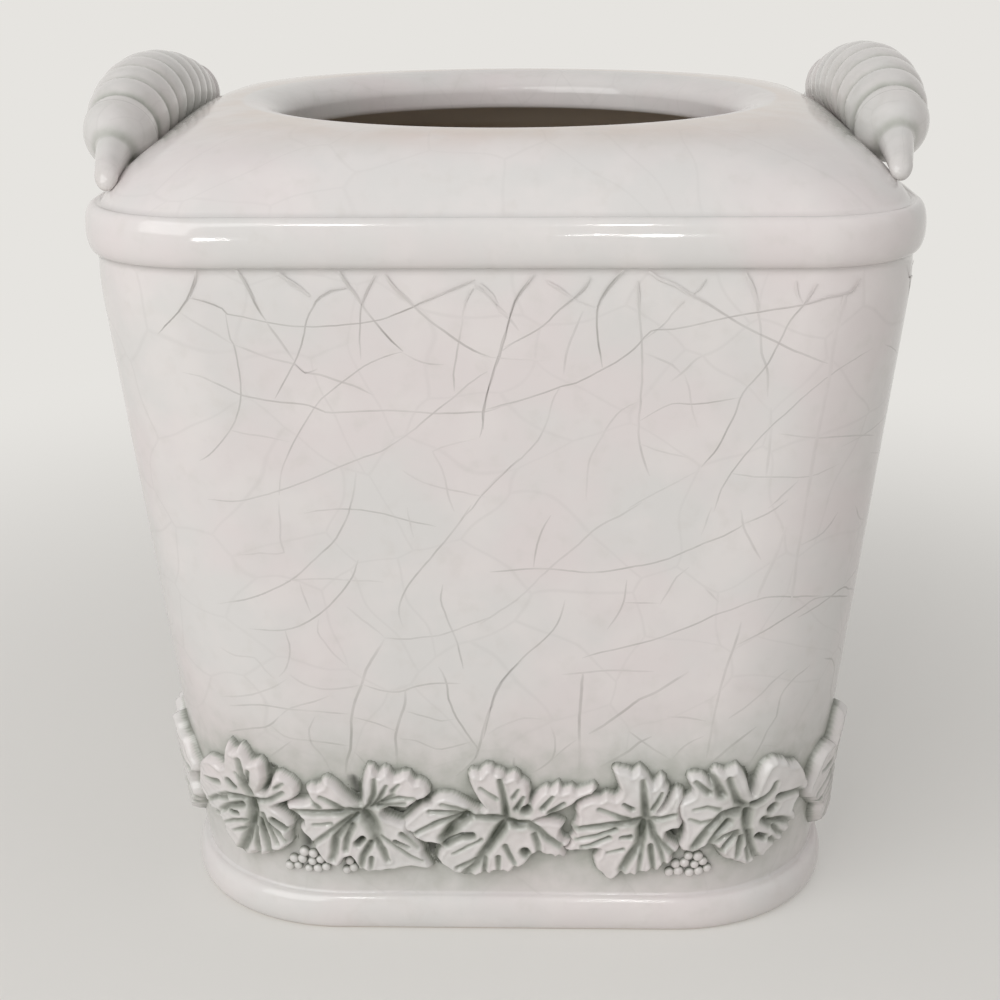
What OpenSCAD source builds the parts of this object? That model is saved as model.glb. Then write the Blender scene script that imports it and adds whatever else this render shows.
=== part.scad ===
// Ceramic cover for an upright box of tissues: a hollow square body, open below,
// with a round opening on top, two ribbed handles and a band of vine leaves.
// Millimetres, +Z up. The origin is the middle of the foot, on the table.

/* [Body] */
// Width of the wall just above the foot bead
wall_foot_w = 136.8; // [120:0.1:170]
// Width that the straight wall would reach under the rim bead
wall_top_w = 158.6; // [138:0.1:200]
// Height from the table to the middle of the rim bead
rim_z = 148.8; // [135:0.5:200]
// Thickness of the wall
wall_t = 4.2; // [3:0.1:6]
// Outer radius of the upright corners at the foot
foot_corner_r = 34; // [28:0.5:42]
// Outer radius of the upright corners at the rim
rim_corner_r = 23; // [16:0.5:34]
// Inner radius of the upright corners at the foot
foot_inner_r = 28; // [18:0.5:28]
// Inner radius of the upright corners at the rim
rim_inner_r = 19; // [12:0.5:24]

/* [Rim and foot] */
// Height of the rim bead
rim_bead_h = 9.4; // [6:0.1:14]
// How far the rim bead stands out from the wall
rim_proud = 2.2; // [1:0.1:5]
// How far the wall draws in just below the rim bead
rim_tuck = 0.7; // [0:0.1:2]
// Height of the drawn-in stretch below the rim bead
tuck_h = 9; // [4:0.5:20]
// Height of the foot bead
foot_h = 8; // [5:0.1:12]
// How far the foot bead stands out from the wall
foot_proud = 2; // [1:0.1:4]

/* [Shoulder and opening] */
// Depth of the groove between the rim bead and the shoulder
groove_d = 0.9; // [0.3:0.1:2]
// Rise of the shoulder from the groove to its crest
shoulder_rise = 13.6; // [8:0.1:20]
// Radius of the round crest of the shoulder
crest_r = 58.5; // [54:0.5:66]
// Radius of the opening for the tissues
opening_r = 50; // [40:0.5:52]
// Height of the rolled lip, from the crest to its lowest edge
lip_h = 8.6; // [7:0.1:12]
// Height of the upper, rounded part of the lip
lip_roll_h = 4.8; // [3:0.1:6]

/* [Handles] */
// Half the length of a handle, from the middle to the end of its neck
handle_half = 60; // [50:0.1:66]
// Greatest radius of a handle
handle_r = 9.6; // [7:0.1:12]
// Radius of a handle's neck at its end
neck_r = 2.3; // [1.5:0.1:3]
// How much the neck's radius grows towards the bulb
neck_flare = 7; // [3:0.1:10]
// How far the rounded tip runs on past the neck
tip_l = 3; // [1:0.1:6]
// How far the tip bends down to the shoulder
tip_drop = 1.6; // [0.5:0.1:4]
// How far the end of a neck lies inside the wall's line under the rim bead
handle_inset = 2.5; // [1:0.1:5]
// Height of a handle's arch, from the end of the neck to the middle
handle_arch = 9.9; // [3:0.1:14]
// How far a handle bows outwards in the middle
handle_bow = 3.6; // [0:0.1:8]
// How far the left handle sits back from the middle of its side
left_setback = 0; // [-4:0.5:6]
// How far the right handle sits back from the middle of its side
right_setback = 4; // [-4:0.5:6]
// Depth of the grooves between the ribs
rib_d = 1.6; // [0.6:0.1:2.5]
// How far the ribs near the ends lean outwards at the top
rib_lean = 5; // [0:0.5:8]

/* [Leaves] */
// Number of leaves round the body
leaf_count = 18; // [12:1:20]
// Height of the vein junctions above the table
leaf_z = 28; // [24:0.5:40]
// Length that the lobes are shares of
leaf_reach = 16; // [10:0.5:18]
// Height of the relief at the ridge of the lobes
leaf_relief = 3.3; // [2:0.1:5]
// Thickness of the leaves at their edge
leaf_edge = 1.1; // [0.6:0.1:1.8]

/* [Grapes] */
// Radius of a berry
berry_r = 1.05; // [0.8:0.05:1.4]
// Height of the lowest berries above the foot bead
grape_lift = 6.2; // [2.5:0.1:8]
// How far inwards from the ends of a side each bunch takes the nearest gap between leaves
grape_inset = 22; // [18:0.5:28]

/* [Hidden] */
SIDES = 4;
QUARTER = acos(0);
TURN = 4 * QUARTER;
side_names = ["front", "right", "back", "left"];
leaf_names = [for (i = [0:leaf_count - 1]) str("leaf_", len(str(i + 1)) < 2 ? "0" : "", i + 1)];
grape_names = [for (s = side_names, h = ["left", "right"]) str("grapes_", s, "_", h)];

glaze = "#ddd8d2";
glaze_shaded = "#d3d0c8";
relief_glaze = "#c9c8c0";

// Gap between pieces that are luted together
seat_gap = 0.25;
// Steps round a corner and along a flat of the body
corner_steps = 8;
flat_steps = 6;
// Steps of the beads, the shoulder, the lip and the ceiling
bead_steps = 8;
shoulder_steps = 10;
lip_steps = 5;
ceiling_steps = 6;
// Rounding of the inner bottom edge
foot_ease = 0.8;

rim_under_z = rim_z - rim_bead_h / 2;
rim_top_z = rim_z + rim_bead_h / 2;
rim_base = wall_top_w / 2 - rim_tuck;
groove_half = rim_base - groove_d;
groove_sink_share = 0.33;
groove_z = rim_top_z - groove_d * groove_sink_share;
crest_z = groove_z + shoulder_rise;

// Exponents of the section: flat-topped shoulder, full beads, square turning to round
shoulder_power_share = 2.5;
round_power_share = 1.9;
bead_full_share = 0.75;
crest_corner_share = 0.72;

function mix(a, b, t) = a + (b - a) * t;
function up_share(z) = (z - foot_h) / (rim_under_z - foot_h);
function wall_half(z) = mix(wall_foot_w, wall_top_w, up_share(z)) / 2;
function corner_r(z) = mix(foot_corner_r, rim_corner_r, up_share(z));
function inner_corner_r(z) = mix(foot_inner_r, rim_inner_r, up_share(z));

function turned(p, a) = [p.x * cos(a) - p.y * sin(a), p.x * sin(a) + p.y * cos(a)];

// Point k of a side of a rounded square, counted from the start of its corner
function square_point(half, r, k) = let (
        straight = half - r,
        a = QUARTER * k / corner_steps,
        f = (k - corner_steps) / flat_steps
    )
    k <= corner_steps
        ? [straight + r * cos(a), straight + r * sin(a)]
        : [mix(straight, -straight, f), half];

// Ring of a rounded square that is drawn by share b towards a circle
function ring(half, r, b, z) = [
    for (side = [0:SIDES - 1], k = [0:corner_steps + flat_steps - 1])
        let (
            p = square_point(half, r, k),
            q = p * half / norm(p),
            m = turned(mix(p, q, b), side * QUARTER)
        )
        [m.x, m.y, z]
];

// Faces of a loop of rings that closes on itself
function torus_faces(rings, points) = [
    for (i = [0:rings - 1], j = [0:points - 1])
        let (
            a = i * points + j,
            b = i * points + (j + 1) % points,
            c = ((i + 1) % rings) * points + j,
            d = ((i + 1) % rings) * points + (j + 1) % points
        )
        each [[a, c, b], [b, c, d]]
];

// Faces of a closed tube of rings between two end points, which come last
function tube_faces(rings, points) = let (
        first = rings * points,
        last = first + 1,
        end = (rings - 1) * points
    )
    concat(
        [for (i = [0:rings - 2], j = [0:points - 1])
            let (
                a = i * points + j,
                b = i * points + (j + 1) % points,
                c = a + points,
                d = b + points
            )
            each [[a, c, b], [b, c, d]]],
        [for (j = [0:points - 1]) [first, j, (j + 1) % points]],
        [for (j = [0:points - 1]) [last, end + (j + 1) % points, end + j]]
    );

function flat_list(lists) = [for (l = lists) each l];

module body_shell() {
    color(glaze)
        polyhedron(flat_list(shell_rings), torus_faces(len(shell_rings), len(shell_rings[0])), 10);
}

// Section of the shell, as rings from the inner bottom edge out and over to the inside

function foot_rings() = [
    for (i = [0:bead_steps])
        let (a = mix(-QUARTER, QUARTER, i / bead_steps))
        ring(wall_foot_w / 2 + foot_proud * pow(cos(a), bead_full_share),
            foot_corner_r, 0, foot_h / 2 * (1 + sin(a)))
];

tuck_steps = 3;
function wall_rings() = [
    for (i = [0:tuck_steps - 1])
        let (t = i / tuck_steps, z = rim_under_z - tuck_h * (1 - t))
        ring(wall_half(z) - rim_tuck * t * t, corner_r(z), 0, z)
];

function rim_rings() = [
    for (i = [0:bead_steps])
        let (
            a = mix(-QUARTER, QUARTER, i / bead_steps),
            out = rim_proud * pow(cos(a), bead_full_share)
        )
        ring(rim_base + out, rim_corner_r + out, 0, rim_z + rim_bead_h / 2 * sin(a))
];

function shoulder_half(t) = mix(groove_half, crest_r, t);
function shoulder_z(t) = mix(groove_z, crest_z, 1 - pow(1 - t, shoulder_power_share));
function shoulder_slope(t) = atan(
    shoulder_rise * shoulder_power_share * pow(1 - t, shoulder_power_share - 1)
    / (groove_half - crest_r));
function shoulder_corner(t) =
    mix(rim_corner_r - groove_d, shoulder_half(t) * crest_corner_share, round_share(t));
function round_share(t) = pow(t, round_power_share);

function shoulder_rings() = [
    for (i = [0:shoulder_steps])
        let (t = i / shoulder_steps)
        ring(shoulder_half(t), shoulder_corner(t), round_share(t), shoulder_z(t))
];

function round_ring(r, z) = ring(r, r * crest_corner_share, 1, z);

function lip_rings() = [
    for (i = [1:lip_steps])
        let (a = QUARTER * i / lip_steps)
        round_ring(crest_r - (crest_r - opening_r) * sin(a), crest_z - lip_roll_h * (1 - cos(a)))
];

// The lip's lower edge turns outwards and up to meet the ceiling
lip_edge_shares = [[0, 0.92], [0.08, 1], [0.21, 1], [0.33, 0.86]];
function lip_edge_rings() = [
    for (s = lip_edge_shares)
        round_ring(mix(opening_r, crest_r, s[0]), crest_z - lip_h * s[1])
];

function ceiling_rings() = [
    for (i = [0:ceiling_steps])
        let (t = 1 - i / ceiling_steps, slope = shoulder_slope(t))
        ring(shoulder_half(t) - wall_t * sin(slope),
            mix(rim_inner_r, shoulder_corner(t), round_share(t)),
            round_share(t), shoulder_z(t) - wall_t * cos(slope))
];

function inner_ring(z, ease) = ring(wall_half(z) - wall_t + ease, inner_corner_r(z), 0, z);
function inner_rings() = [
    inner_ring(rim_under_z, -rim_tuck),
    inner_ring(rim_under_z - tuck_h, 0),
    inner_ring(foot_ease, 0),
    inner_ring(0, foot_ease)
];

shell_rings = concat(foot_rings(), wall_rings(), rim_rings(), shoulder_rings(), lip_rings(),
    lip_edge_rings(), ceiling_rings(), inner_rings());

// Height of the shoulder over a place: the share of its ring there, found by halving
halvings = 10;
function outside(p, half, r, b) = let (q = p * (norm(p) - b * half) / norm(p) / (1 - b))
    norm([max(q.x - half + r, 0), max(q.y - half + r, 0)]) - r;
function shoulder_share(p, low, high, left) = let (t = (low + high) / 2)
    left == 0 ? t
    : outside(p, shoulder_half(t), shoulder_corner(t), round_share(t)) > 0
        ? shoulder_share(p, low, t, left - 1)
        : shoulder_share(p, t, high, left - 1);
function shoulder_over(p) = outside(p, groove_half, shoulder_corner(0), 0) > 0
    ? rim_top_z
    : shoulder_z(shoulder_share(p, 0, 1, halvings));

// Handles: each share v runs from the middle, 0, to the end of the neck, 1, and on to the tip
handle_x = rim_base - handle_inset;
tip_share = tip_l / handle_half;
rib_groove_shares = [0.072, 0.216, 0.36, 0.505, 0.75];
rib_station_shares = [0, 0.07, 0.25, 0.5, 0.75, 0.93];
neck_station_shares = [0.8, 0.87, 0.94, 1];
tip_station_shares = [0.45, 0.8, 0.95];
spindle_power_share = 2.55;
flare_power_share = 4;
arch_power_share = 1.8;
rib_limit_share = 0.25;
handle_sides = 16;

function handle_centre(v) = [
    handle_x + handle_bow * (1 - v * v),
    v * handle_half,
    handle_arch * (1 - pow(min(abs(v), 1), arch_power_share))
        - tip_drop * max(abs(v) - 1, 0) / tip_share
];
function spindle_r(v) = let (u = min(abs(v), 1))
    neck_r + (handle_r - neck_r) * pow(1 - pow(u, spindle_power_share), 2)
    + neck_flare * (1 - u) * pow(u, flare_power_share);

// Radius at share f of a rib that runs between two grooves
function rib_r(v, f) = let (w = 2 * f - 1, full = spindle_r(v))
    full - min(rib_d, full * rib_limit_share) * (1 - sqrt(1 - w * w));

rib_ends = concat([for (i = [len(rib_groove_shares) - 1:-1:0]) -rib_groove_shares[i]],
    rib_groove_shares);
rib_stations = concat(
    [for (i = [0:len(rib_ends) - 2], f = rib_station_shares)
        let (v = mix(rib_ends[i], rib_ends[i + 1], f)) [v, rib_r(v, f)]],
    [let (v = rib_ends[len(rib_ends) - 1]) [v, rib_r(v, 1)]]);
end_stations = concat(
    [for (v = neck_station_shares) [v, spindle_r(v)]],
    [for (f = tip_station_shares) [1 + f * tip_share, neck_r * sqrt(1 - f * f)]]);
handle_stations = concat(
    [for (i = [len(end_stations) - 1:-1:0]) [-end_stations[i][0], end_stations[i][1]]],
    rib_stations, end_stations);

function handle_ring(v, r) = let (
        c = handle_centre(v),
        lean = abs(v) < 1 ? rib_lean * v * (1 - v * v) : 0
    )
    [for (k = [0:handle_sides - 1])
        let (a = TURN * k / handle_sides)
        c + [r * sin(a), lean * cos(a), r * cos(a)]];

// A handle rests on the shoulder: it is lifted until its lowest place just clears it
module handle(setback) {
    rings = flat_list([for (s = handle_stations) handle_ring(s[0], s[1])]);
    ends = [handle_centre(-1 - tip_share), handle_centre(1 + tip_share)];
    lift = max([for (p = rings) shoulder_over([p.x, abs(p.y + setback)]) - p.z]) + seat_gap;
    color(glaze_shaded)
        translate([0, setback, lift])
            polyhedron(concat(rings, ends), tube_faces(len(handle_stations), handle_sides), 10);
}
module handle_right() {
    handle(right_setback);
}
module handle_left() {
    mirror([1, 0, 0]) handle(left_setback);
}

// The wall as a sheet: distance s round it from the middle of the front, height z, lift n

function side_length(z) = 2 * (wall_half(z) - corner_r(z)) + PI / 2 * corner_r(z);
band_side = side_length(leaf_z);

function wall_place(s, z) = let (
        side = floor(s / band_side + 0.5),
        local = (s - side * band_side) * side_length(z) / band_side,
        straight = wall_half(z) - corner_r(z),
        a = max(abs(local) - straight, 0) / corner_r(z) * 2 * QUARTER / PI,
        dir = sign(local),
        p = [dir * (min(abs(local), straight) + corner_r(z) * sin(a)),
            -straight - corner_r(z) * cos(a)],
        m = turned(p, side * QUARTER),
        out = turned([dir * sin(a), -cos(a)], side * QUARTER)
    )
    [[m.x, m.y, z], [out.x, out.y, 0]];
wall_lean = atan((wall_top_w - wall_foot_w) / 2 / (rim_under_z - foot_h));
function wall_point(s, z, n) = let (place = wall_place(s, z))
    place[0] + n * (place[1] * cos(wall_lean) - [0, 0, sin(wall_lean)]);

// Leaves: five patterns, each a list of lobes as angle, length share and half width in degrees
leaf_lobe_shares = [
    [[104, 0.7, 34], [187, 1.41, 14], [227, 1.16, 17], [262, 0.96, 24], [321, 1.01, 18],
        [20, 1.21, 12]],
    [[98, 0.8, 32], [36, 0.66, 14], [312, 0.63, 22], [270, 0.82, 24], [239, 1.05, 15], [184, 1.05, 24],
        [152, 0.66, 12]],
    [[78, 0.62, 20], [31, 0.81, 20], [328, 0.92, 18], [278, 0.86, 24], [236, 0.8, 20], [170, 0.89, 22],
        [141, 0.72, 13]],
    [[107, 0.91, 22], [32, 0.62, 20], [308, 0.82, 20], [284, 0.79, 20], [252, 0.75, 16],
        [190, 0.84, 22], [148, 0.84, 18]],
    [[110, 0.65, 22], [44, 0.97, 22], [348, 0.81, 20], [296, 0.81, 20], [262, 0.76, 18],
        [214, 0.92, 18], [182, 0.82, 18], [150, 0.81, 13]]
];
// Pattern of each leaf in turn, and places of the five front ones as shares of the pitch
leaf_kinds = [3, 2, 0, 1, 4, 3, 2, 0, 1, 4, 3, 0, 1, 2, 4, 3, 1, 4, 0, 2];
front_place_shares = [-1.92, -1.04, 0, 1.04, 1.82];
front_rise_shares = [0.06, 0.04, -0.02, -0.08, 0.05];
front_count = len(front_place_shares);
leaf_spokes = 32;
leaf_heart_share = 0.42;
petal_power_share = 0.6;
petal_spread_share = 1.6;
// Rings of a leaf's back as shares of its reach, and of its face also as shares of its relief
leaf_back_shares = [0.25, 0.5, 0.75, 1];
leaf_face_shares = [[0.78, 1], [0.42, 0.86]];
leaf_hollow_share = 0.5;

leaf_pitch = SIDES * band_side / leaf_count;
function leaf_place(i) = leaf_pitch * (i < front_count ? front_place_shares[i]
    : mix(front_place_shares[front_count - 1], front_place_shares[0] + leaf_count,
        (i - front_count + 1) / (leaf_count - front_count + 1)));
function leaf_height(i) = leaf_z + leaf_reach * (i < front_count ? front_rise_shares[i] : 0);

function turn_between(a, b) = (a - b + TURN + TURN / 2) % TURN - TURN / 2;
function petal(lobe, a) = let (
        off = QUARTER * turn_between(a, lobe[0]) / lobe[2] / petal_spread_share
    )
    abs(off) < QUARTER ? lobe[1] * pow(cos(off), petal_power_share) : 0;
function leaf_share(kind, a) = max(concat([leaf_heart_share],
    [for (lobe = leaf_lobe_shares[kind]) petal(lobe, a)]));

// A leaf has room as far as half way to its neighbour on that side
least_cosine_share = 0.01;
function neighbour_place(i, dir) = let (next = i + dir)
    next < 0 ? leaf_place(leaf_count - 1) - SIDES * band_side
    : next >= leaf_count ? leaf_place(0) + SIDES * band_side : leaf_place(next);
function leaf_room(i, dir) = abs(neighbour_place(i, dir) - leaf_place(i)) / 2 - seat_gap / 2;
function leaf_radius(i, a) = min(
    leaf_reach * leaf_share(leaf_kinds[i], a),
    leaf_room(i, sign(cos(a)) < 0 ? -1 : 1) / max(abs(cos(a)), least_cosine_share));

module leaf(i) {
    s = leaf_place(i);
    z = leaf_height(i);
    spokes = [for (k = [0:leaf_spokes - 1]) TURN * k / leaf_spokes];
    layers = concat(
        [for (f = leaf_back_shares) [f, seat_gap]],
        [[1, leaf_edge]],
        [for (f = leaf_face_shares) [f[0], leaf_relief * f[1]]]);
    points = [for (l = layers, a = spokes)
        let (r = l[0] * leaf_radius(i, a))
        wall_point(s + r * cos(a), z + r * sin(a), l[1])];
    ends = [wall_point(s, z, seat_gap), wall_point(s, z, leaf_relief * leaf_hollow_share)];
    color(relief_glaze)
        polyhedron(concat(points, ends), tube_faces(len(layers), leaf_spokes), 10);
}

// Grapes: rows of berries, as places in berry steps along the wall and up it
berry_step = 2 * berry_r + seat_gap;
berry_rows = [5, 4, 2];
row_slip_share = 0.5;
row_rise_share = 0.9;
berry_facets = 24;

// Middle of the gap between two leaves that lies nearest to place s
leaf_gaps = [for (i = [0:leaf_count - 1]) (leaf_place(i) + neighbour_place(i, 1)) / 2];
function gap_near(s) = let (least = min([for (g = leaf_gaps) abs(g - s)]))
    [for (g = leaf_gaps) if (abs(g - s) == least) g][0];

module grapes(side, dir) {
    middle = gap_near(side * band_side + dir * (band_side / 2 - grape_inset));
    color(relief_glaze)
        for (row = [0:len(berry_rows) - 1], k = [0:berry_rows[row] - 1])
            let (
                along = (k - (berry_rows[0] - 1) / 2 + row * row_slip_share) * berry_step,
                s = middle + dir * along,
                z = foot_h + grape_lift + row * row_rise_share * berry_step
            )
            translate(wall_point(s, z, berry_r + seat_gap)) sphere(berry_r, $fn = berry_facets);
}

body_shell();
handle_left();
handle_right();
for (i = [0:leaf_count - 1])
    leaf(i);
for (i = [0:len(grape_names) - 1])
    grapes(floor(i / 2), i % 2 == 0 ? -1 : 1);
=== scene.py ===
import math
import bpy
import numpy as np
from mathutils import Matrix, Vector
from bpy.props import FloatProperty, FloatVectorProperty, PointerProperty


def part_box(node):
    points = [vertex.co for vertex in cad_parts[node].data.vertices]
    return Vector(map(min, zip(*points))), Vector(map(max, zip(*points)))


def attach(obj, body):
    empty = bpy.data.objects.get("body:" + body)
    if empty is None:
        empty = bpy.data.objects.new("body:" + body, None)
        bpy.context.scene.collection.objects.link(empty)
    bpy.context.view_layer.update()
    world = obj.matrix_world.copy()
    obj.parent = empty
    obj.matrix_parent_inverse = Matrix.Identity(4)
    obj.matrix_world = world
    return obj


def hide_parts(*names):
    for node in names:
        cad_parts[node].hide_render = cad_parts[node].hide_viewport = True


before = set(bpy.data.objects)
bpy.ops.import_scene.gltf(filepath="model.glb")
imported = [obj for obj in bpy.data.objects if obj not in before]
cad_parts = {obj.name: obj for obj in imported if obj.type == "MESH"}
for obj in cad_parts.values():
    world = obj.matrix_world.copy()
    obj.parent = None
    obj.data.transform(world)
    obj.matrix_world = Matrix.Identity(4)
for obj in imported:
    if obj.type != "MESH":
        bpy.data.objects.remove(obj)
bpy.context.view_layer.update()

bl_info = {
    "name": "Crackle-glazed tissue box cover",
    "version": (1, 0, 0),
    "blender": (4, 5, 0),
    "location": "View3D > Sidebar > Tissue cover",
    "description": "Builds a square ceramic tissue box cover with ribbed handles and a vine leaf band",
    "category": "Object",
}

MM = 0.001
SIDES = 4


def linear(code):
    """sRGB hex colour as a linear RGBA tuple."""
    values = [int(code[i:i + 2], 16) / 255 for i in (1, 3, 5)]
    return tuple(v / 12.92 if v <= 0.04045 else ((v + 0.055) / 1.055) ** 2.4 for v in values) + (1.0,)


def length(name, description, default):
    return FloatProperty(name=name, description=description, default=default, unit="LENGTH")


def colour(name, description, code):
    return FloatVectorProperty(name=name, description=description, subtype="COLOR", size=4,
                               min=0.0, max=1.0, default=linear(code))


class CoverSizes(bpy.types.PropertyGroup):
    """Sizes of the cover, in metres, as the CAD model has them"""
    wall_foot_w: length("Wall width, foot", "Width of the wall just above the foot bead", 0.1368)
    wall_top_w: length("Wall width, top", "Width the straight wall reaches under the rim", 0.1586)
    foot_h: length("Foot bead height", "Height of the foot bead", 0.008)
    foot_proud: length("Foot bead reach", "How far the foot bead stands out", 0.002)
    foot_corner_r: length("Foot corner", "Outer corner radius at the foot", 0.034)
    rim_corner_r: length("Rim corner", "Outer corner radius at the rim", 0.023)
    rim_z: length("Rim height", "Height of the middle of the rim bead", 0.1488)
    rim_bead_h: length("Rim bead height", "Height of the rim bead", 0.0094)
    rim_proud: length("Rim bead reach", "How far the rim bead stands out", 0.0022)
    rim_tuck: length("Rim tuck", "How far the wall draws in below the rim bead", 0.0007)
    tuck_h: length("Tuck height", "Height of the drawn-in stretch below the rim", 0.009)
    groove_d: length("Groove depth", "Depth of the groove inside the rim bead", 0.0009)
    shoulder_rise: length("Shoulder rise", "Rise from the groove to the crest", 0.0136)
    crest_r: length("Crest radius", "Radius of the round crest", 0.0585)
    opening_r: length("Opening radius", "Radius of the opening", 0.050)
    lip_h: length("Lip height", "Height of the rolled lip", 0.0086)
    lip_roll_h: length("Lip roll", "Height of the rounded part of the lip", 0.0048)
    wall_t: length("Wall thickness", "Thickness of the wall", 0.0042)
    handle_half: length("Handle half length", "Middle of a handle to the end of its neck", 0.060)
    handle_r: length("Handle radius", "Greatest radius of a handle", 0.0096)
    neck_r: length("Neck radius", "Radius at the end of a handle's neck", 0.0023)
    leaf_z: length("Leaf height", "Height of the vein junctions", 0.028)
    berry_r: length("Berry radius", "Radius of a berry", 0.00105)
    crackle: length("Crackle cell", "Width of a cell of the faint crackle", 0.017)
    crack_w: length("Crackle line", "Width of a faint crackle line", 0.0005)


class CoverColours(bpy.types.PropertyGroup):
    """Colours of the glaze and of the stage"""
    cream: colour("Glaze", "Cream-white glaze where it lies thick", "#dfd8d7")
    # The pooled and deepest glaze colours also serve as painted shade in hollows and creases
    pooled_and_shaded: colour("Pooled glaze", "Grey-green glaze pooled in hollows", "#8d8f87")
    deep: colour("Deepest glaze", "Dark glaze at the bottom of the hollows", "#575b51")
    crack: colour("Crackle", "Stain in the crackle lines", "#6e6a63")
    inside: colour("Inside", "Thin glaze on the inside of the body", "#cdc0af")
    bisque: colour("Bisque", "Unglazed clay under the foot", "#d9c9b4")
    floor: colour("Floor", "Plain pale floor", "#dcdad6")


def sizes():
    return bpy.context.scene.cover_sizes


def colours():
    return bpy.context.scene.cover_colours


def mix(a, b, t):
    return a + (b - a) * t


def smooth(a, b, x):
    t = np.clip((x - a) / (b - a), 0.0, 1.0)
    return t * t * (3 - 2 * t)


# Surface helpers

def deselect():
    if bpy.context.object and bpy.context.object.mode != "OBJECT":
        bpy.ops.object.mode_set(mode="OBJECT")
    bpy.ops.object.select_all(action="DESELECT")


def sheet(name, across, along, place, closed=True):
    """A grid primitive laid on a surface by place(u, v), with u and v from 0 to 1.

    place gives the points, the surface unrolled flat in metres for the glaze's pattern,
    and marks for the glaze, one number a point.
    """
    deselect()
    bpy.ops.mesh.primitive_grid_add(x_subdivisions=across, y_subdivisions=along, size=2)
    obj = bpy.context.object
    obj.name = obj.data.name = name
    mesh = obj.data
    flat = np.empty(len(mesh.vertices) * 3)
    mesh.vertices.foreach_get("co", flat)
    flat = flat.reshape(-1, 3)
    points, unrolled, marks = place((flat[:, 0] + 1) / 2, (flat[:, 1] + 1) / 2)
    mesh.vertices.foreach_set("co", np.ascontiguousarray(points).ravel())
    corner = np.empty(len(mesh.loops), dtype=int)
    mesh.loops.foreach_get("vertex_index", corner)
    layer = mesh.uv_layers[0]
    layer.name = "unrolled"
    layer.uv.foreach_set("vector", np.ascontiguousarray(unrolled[corner], dtype=np.float32).ravel())
    for mark, values in marks.items():
        layer = mesh.attributes.new(mark, "FLOAT", "POINT")
        layer.data.foreach_set("value", np.ascontiguousarray(values, dtype=np.float32))
    mesh.update()
    bpy.ops.object.mode_set(mode="EDIT")
    bpy.ops.mesh.select_all(action="SELECT")
    bpy.ops.mesh.remove_doubles(threshold=1e-6)
    if closed:
        bpy.ops.mesh.normals_make_consistent(inside=False)
    bpy.ops.object.mode_set(mode="OBJECT")
    bpy.ops.object.shade_smooth()
    return obj


def finish_piece(obj, node, material):
    obj.data.materials.clear()
    obj.data.materials.append(material)
    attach(obj, "root")
    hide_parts(node)


# Camera

# The camera stands 0.40 m in front of the body's middle and 0.21 m up, and looks 19 degrees down
CAMERA_AT = (0.00807, -0.40334, 0.20974)
CAMERA_RIGHT = (0.999685, 0.024417, -0.005745)
CAMERA_UP = (-0.002420, 0.321848, 0.946788)
CAMERA_LENS = 64.94
SENSOR_WIDE, CAMERA_SHIFT = 36.0, 0.001
# The photograph is square, and this many pixels wide
PHOTO_WIDE = 1000


# The wall as a sheet: distance s round it from the middle of the front, height z, lift n

def rim_under():
    s = sizes()
    return s.rim_z - s.rim_bead_h / 2


def wall_half(z):
    s = sizes()
    return mix(s.wall_foot_w, s.wall_top_w, (z - s.foot_h) / (rim_under() - s.foot_h)) / 2


def corner_r(z):
    s = sizes()
    return mix(s.foot_corner_r, s.rim_corner_r, (z - s.foot_h) / (rim_under() - s.foot_h))


def side_length(z):
    return 2 * (wall_half(z) - corner_r(z)) + math.pi / 2 * corner_r(z)


def wall_point(s, z, n):
    """Points on the outside of the wall, all in metres, as an array of rows."""
    band = side_length(sizes().leaf_z)
    side = np.floor(s / band + 0.5)
    local = (s - side * band) * side_length(z) / band
    r = corner_r(z)
    straight = wall_half(z) - r
    a = np.maximum(np.abs(local) - straight, 0) / r
    sign = np.sign(local)
    x = sign * (np.minimum(np.abs(local), straight) + r * np.sin(a))
    y = -straight - r * np.cos(a)
    nx, ny = sign * np.sin(a), -np.cos(a)
    turn = side * math.pi / 2
    c, q = np.cos(turn), np.sin(turn)
    lean = math.atan((sizes().wall_top_w - sizes().wall_foot_w) / 2 / (rim_under() - sizes().foot_h))
    px = x * c - y * q + n * math.cos(lean) * (nx * c - ny * q)
    py = x * q + y * c + n * math.cos(lean) * (nx * q + ny * c)
    return np.stack([px, py, z - n * math.sin(lean)], -1)


# Body

CORNER_STEPS, FLAT_STEPS = 40, 84
# Rows of the section: foot bead, leaf band, wall over it, tuck, rim bead and shoulder
FOOT_ROWS, BAND_STEPS, WALL_STEPS, TUCK_STEPS, RIM_ROWS, SHOULDER_ROWS = 20, 50, 13, 7, 24, 32
# The rolled lip, the underside of the shoulder and the inside of the wall
LIP_ROWS, UNDER_ROWS, INSIDE_ROWS = 13, 12, 8
BAND_TOP = 0.047
LEVEL_ROW = 30
# Powers by which the shoulder turns from square to round, and by which it rises
ROUND_POWER, SHOULDER_POWER = 1.9, 2.5
# How full a bead is, and the corner of the crest's ring as a share of its half width
BEAD_FULL = 0.75
CREST_CORNER = 0.72
LIP_START = FOOT_ROWS + BAND_STEPS - 1 + WALL_STEPS - 1 + TUCK_STEPS - 2 + RIM_ROWS + SHOULDER_ROWS
# Corner radii of the inside at the foot and at the rim, and the bevel of the foot's inner edge
INSIDE_CORNERS = (0.028, 0.019)
FOOT_EDGE = 0.0008
# Share of the faint net of crackle
NET_SHOULDER, NET_WALL, NET_HANDLE = 0.16, 0.22, 0.25
# Glaze on the lip, and painted shadow on the shoulder where the handles are luted on, in metres from the
# middle
LIP_POOL = 0.05
SEAM_AT, SEAM_WIDE, SEAM_SHADOW = 0.068, 0.004, 0.34
HOLLOW_DENT = 0.7 * MM


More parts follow.
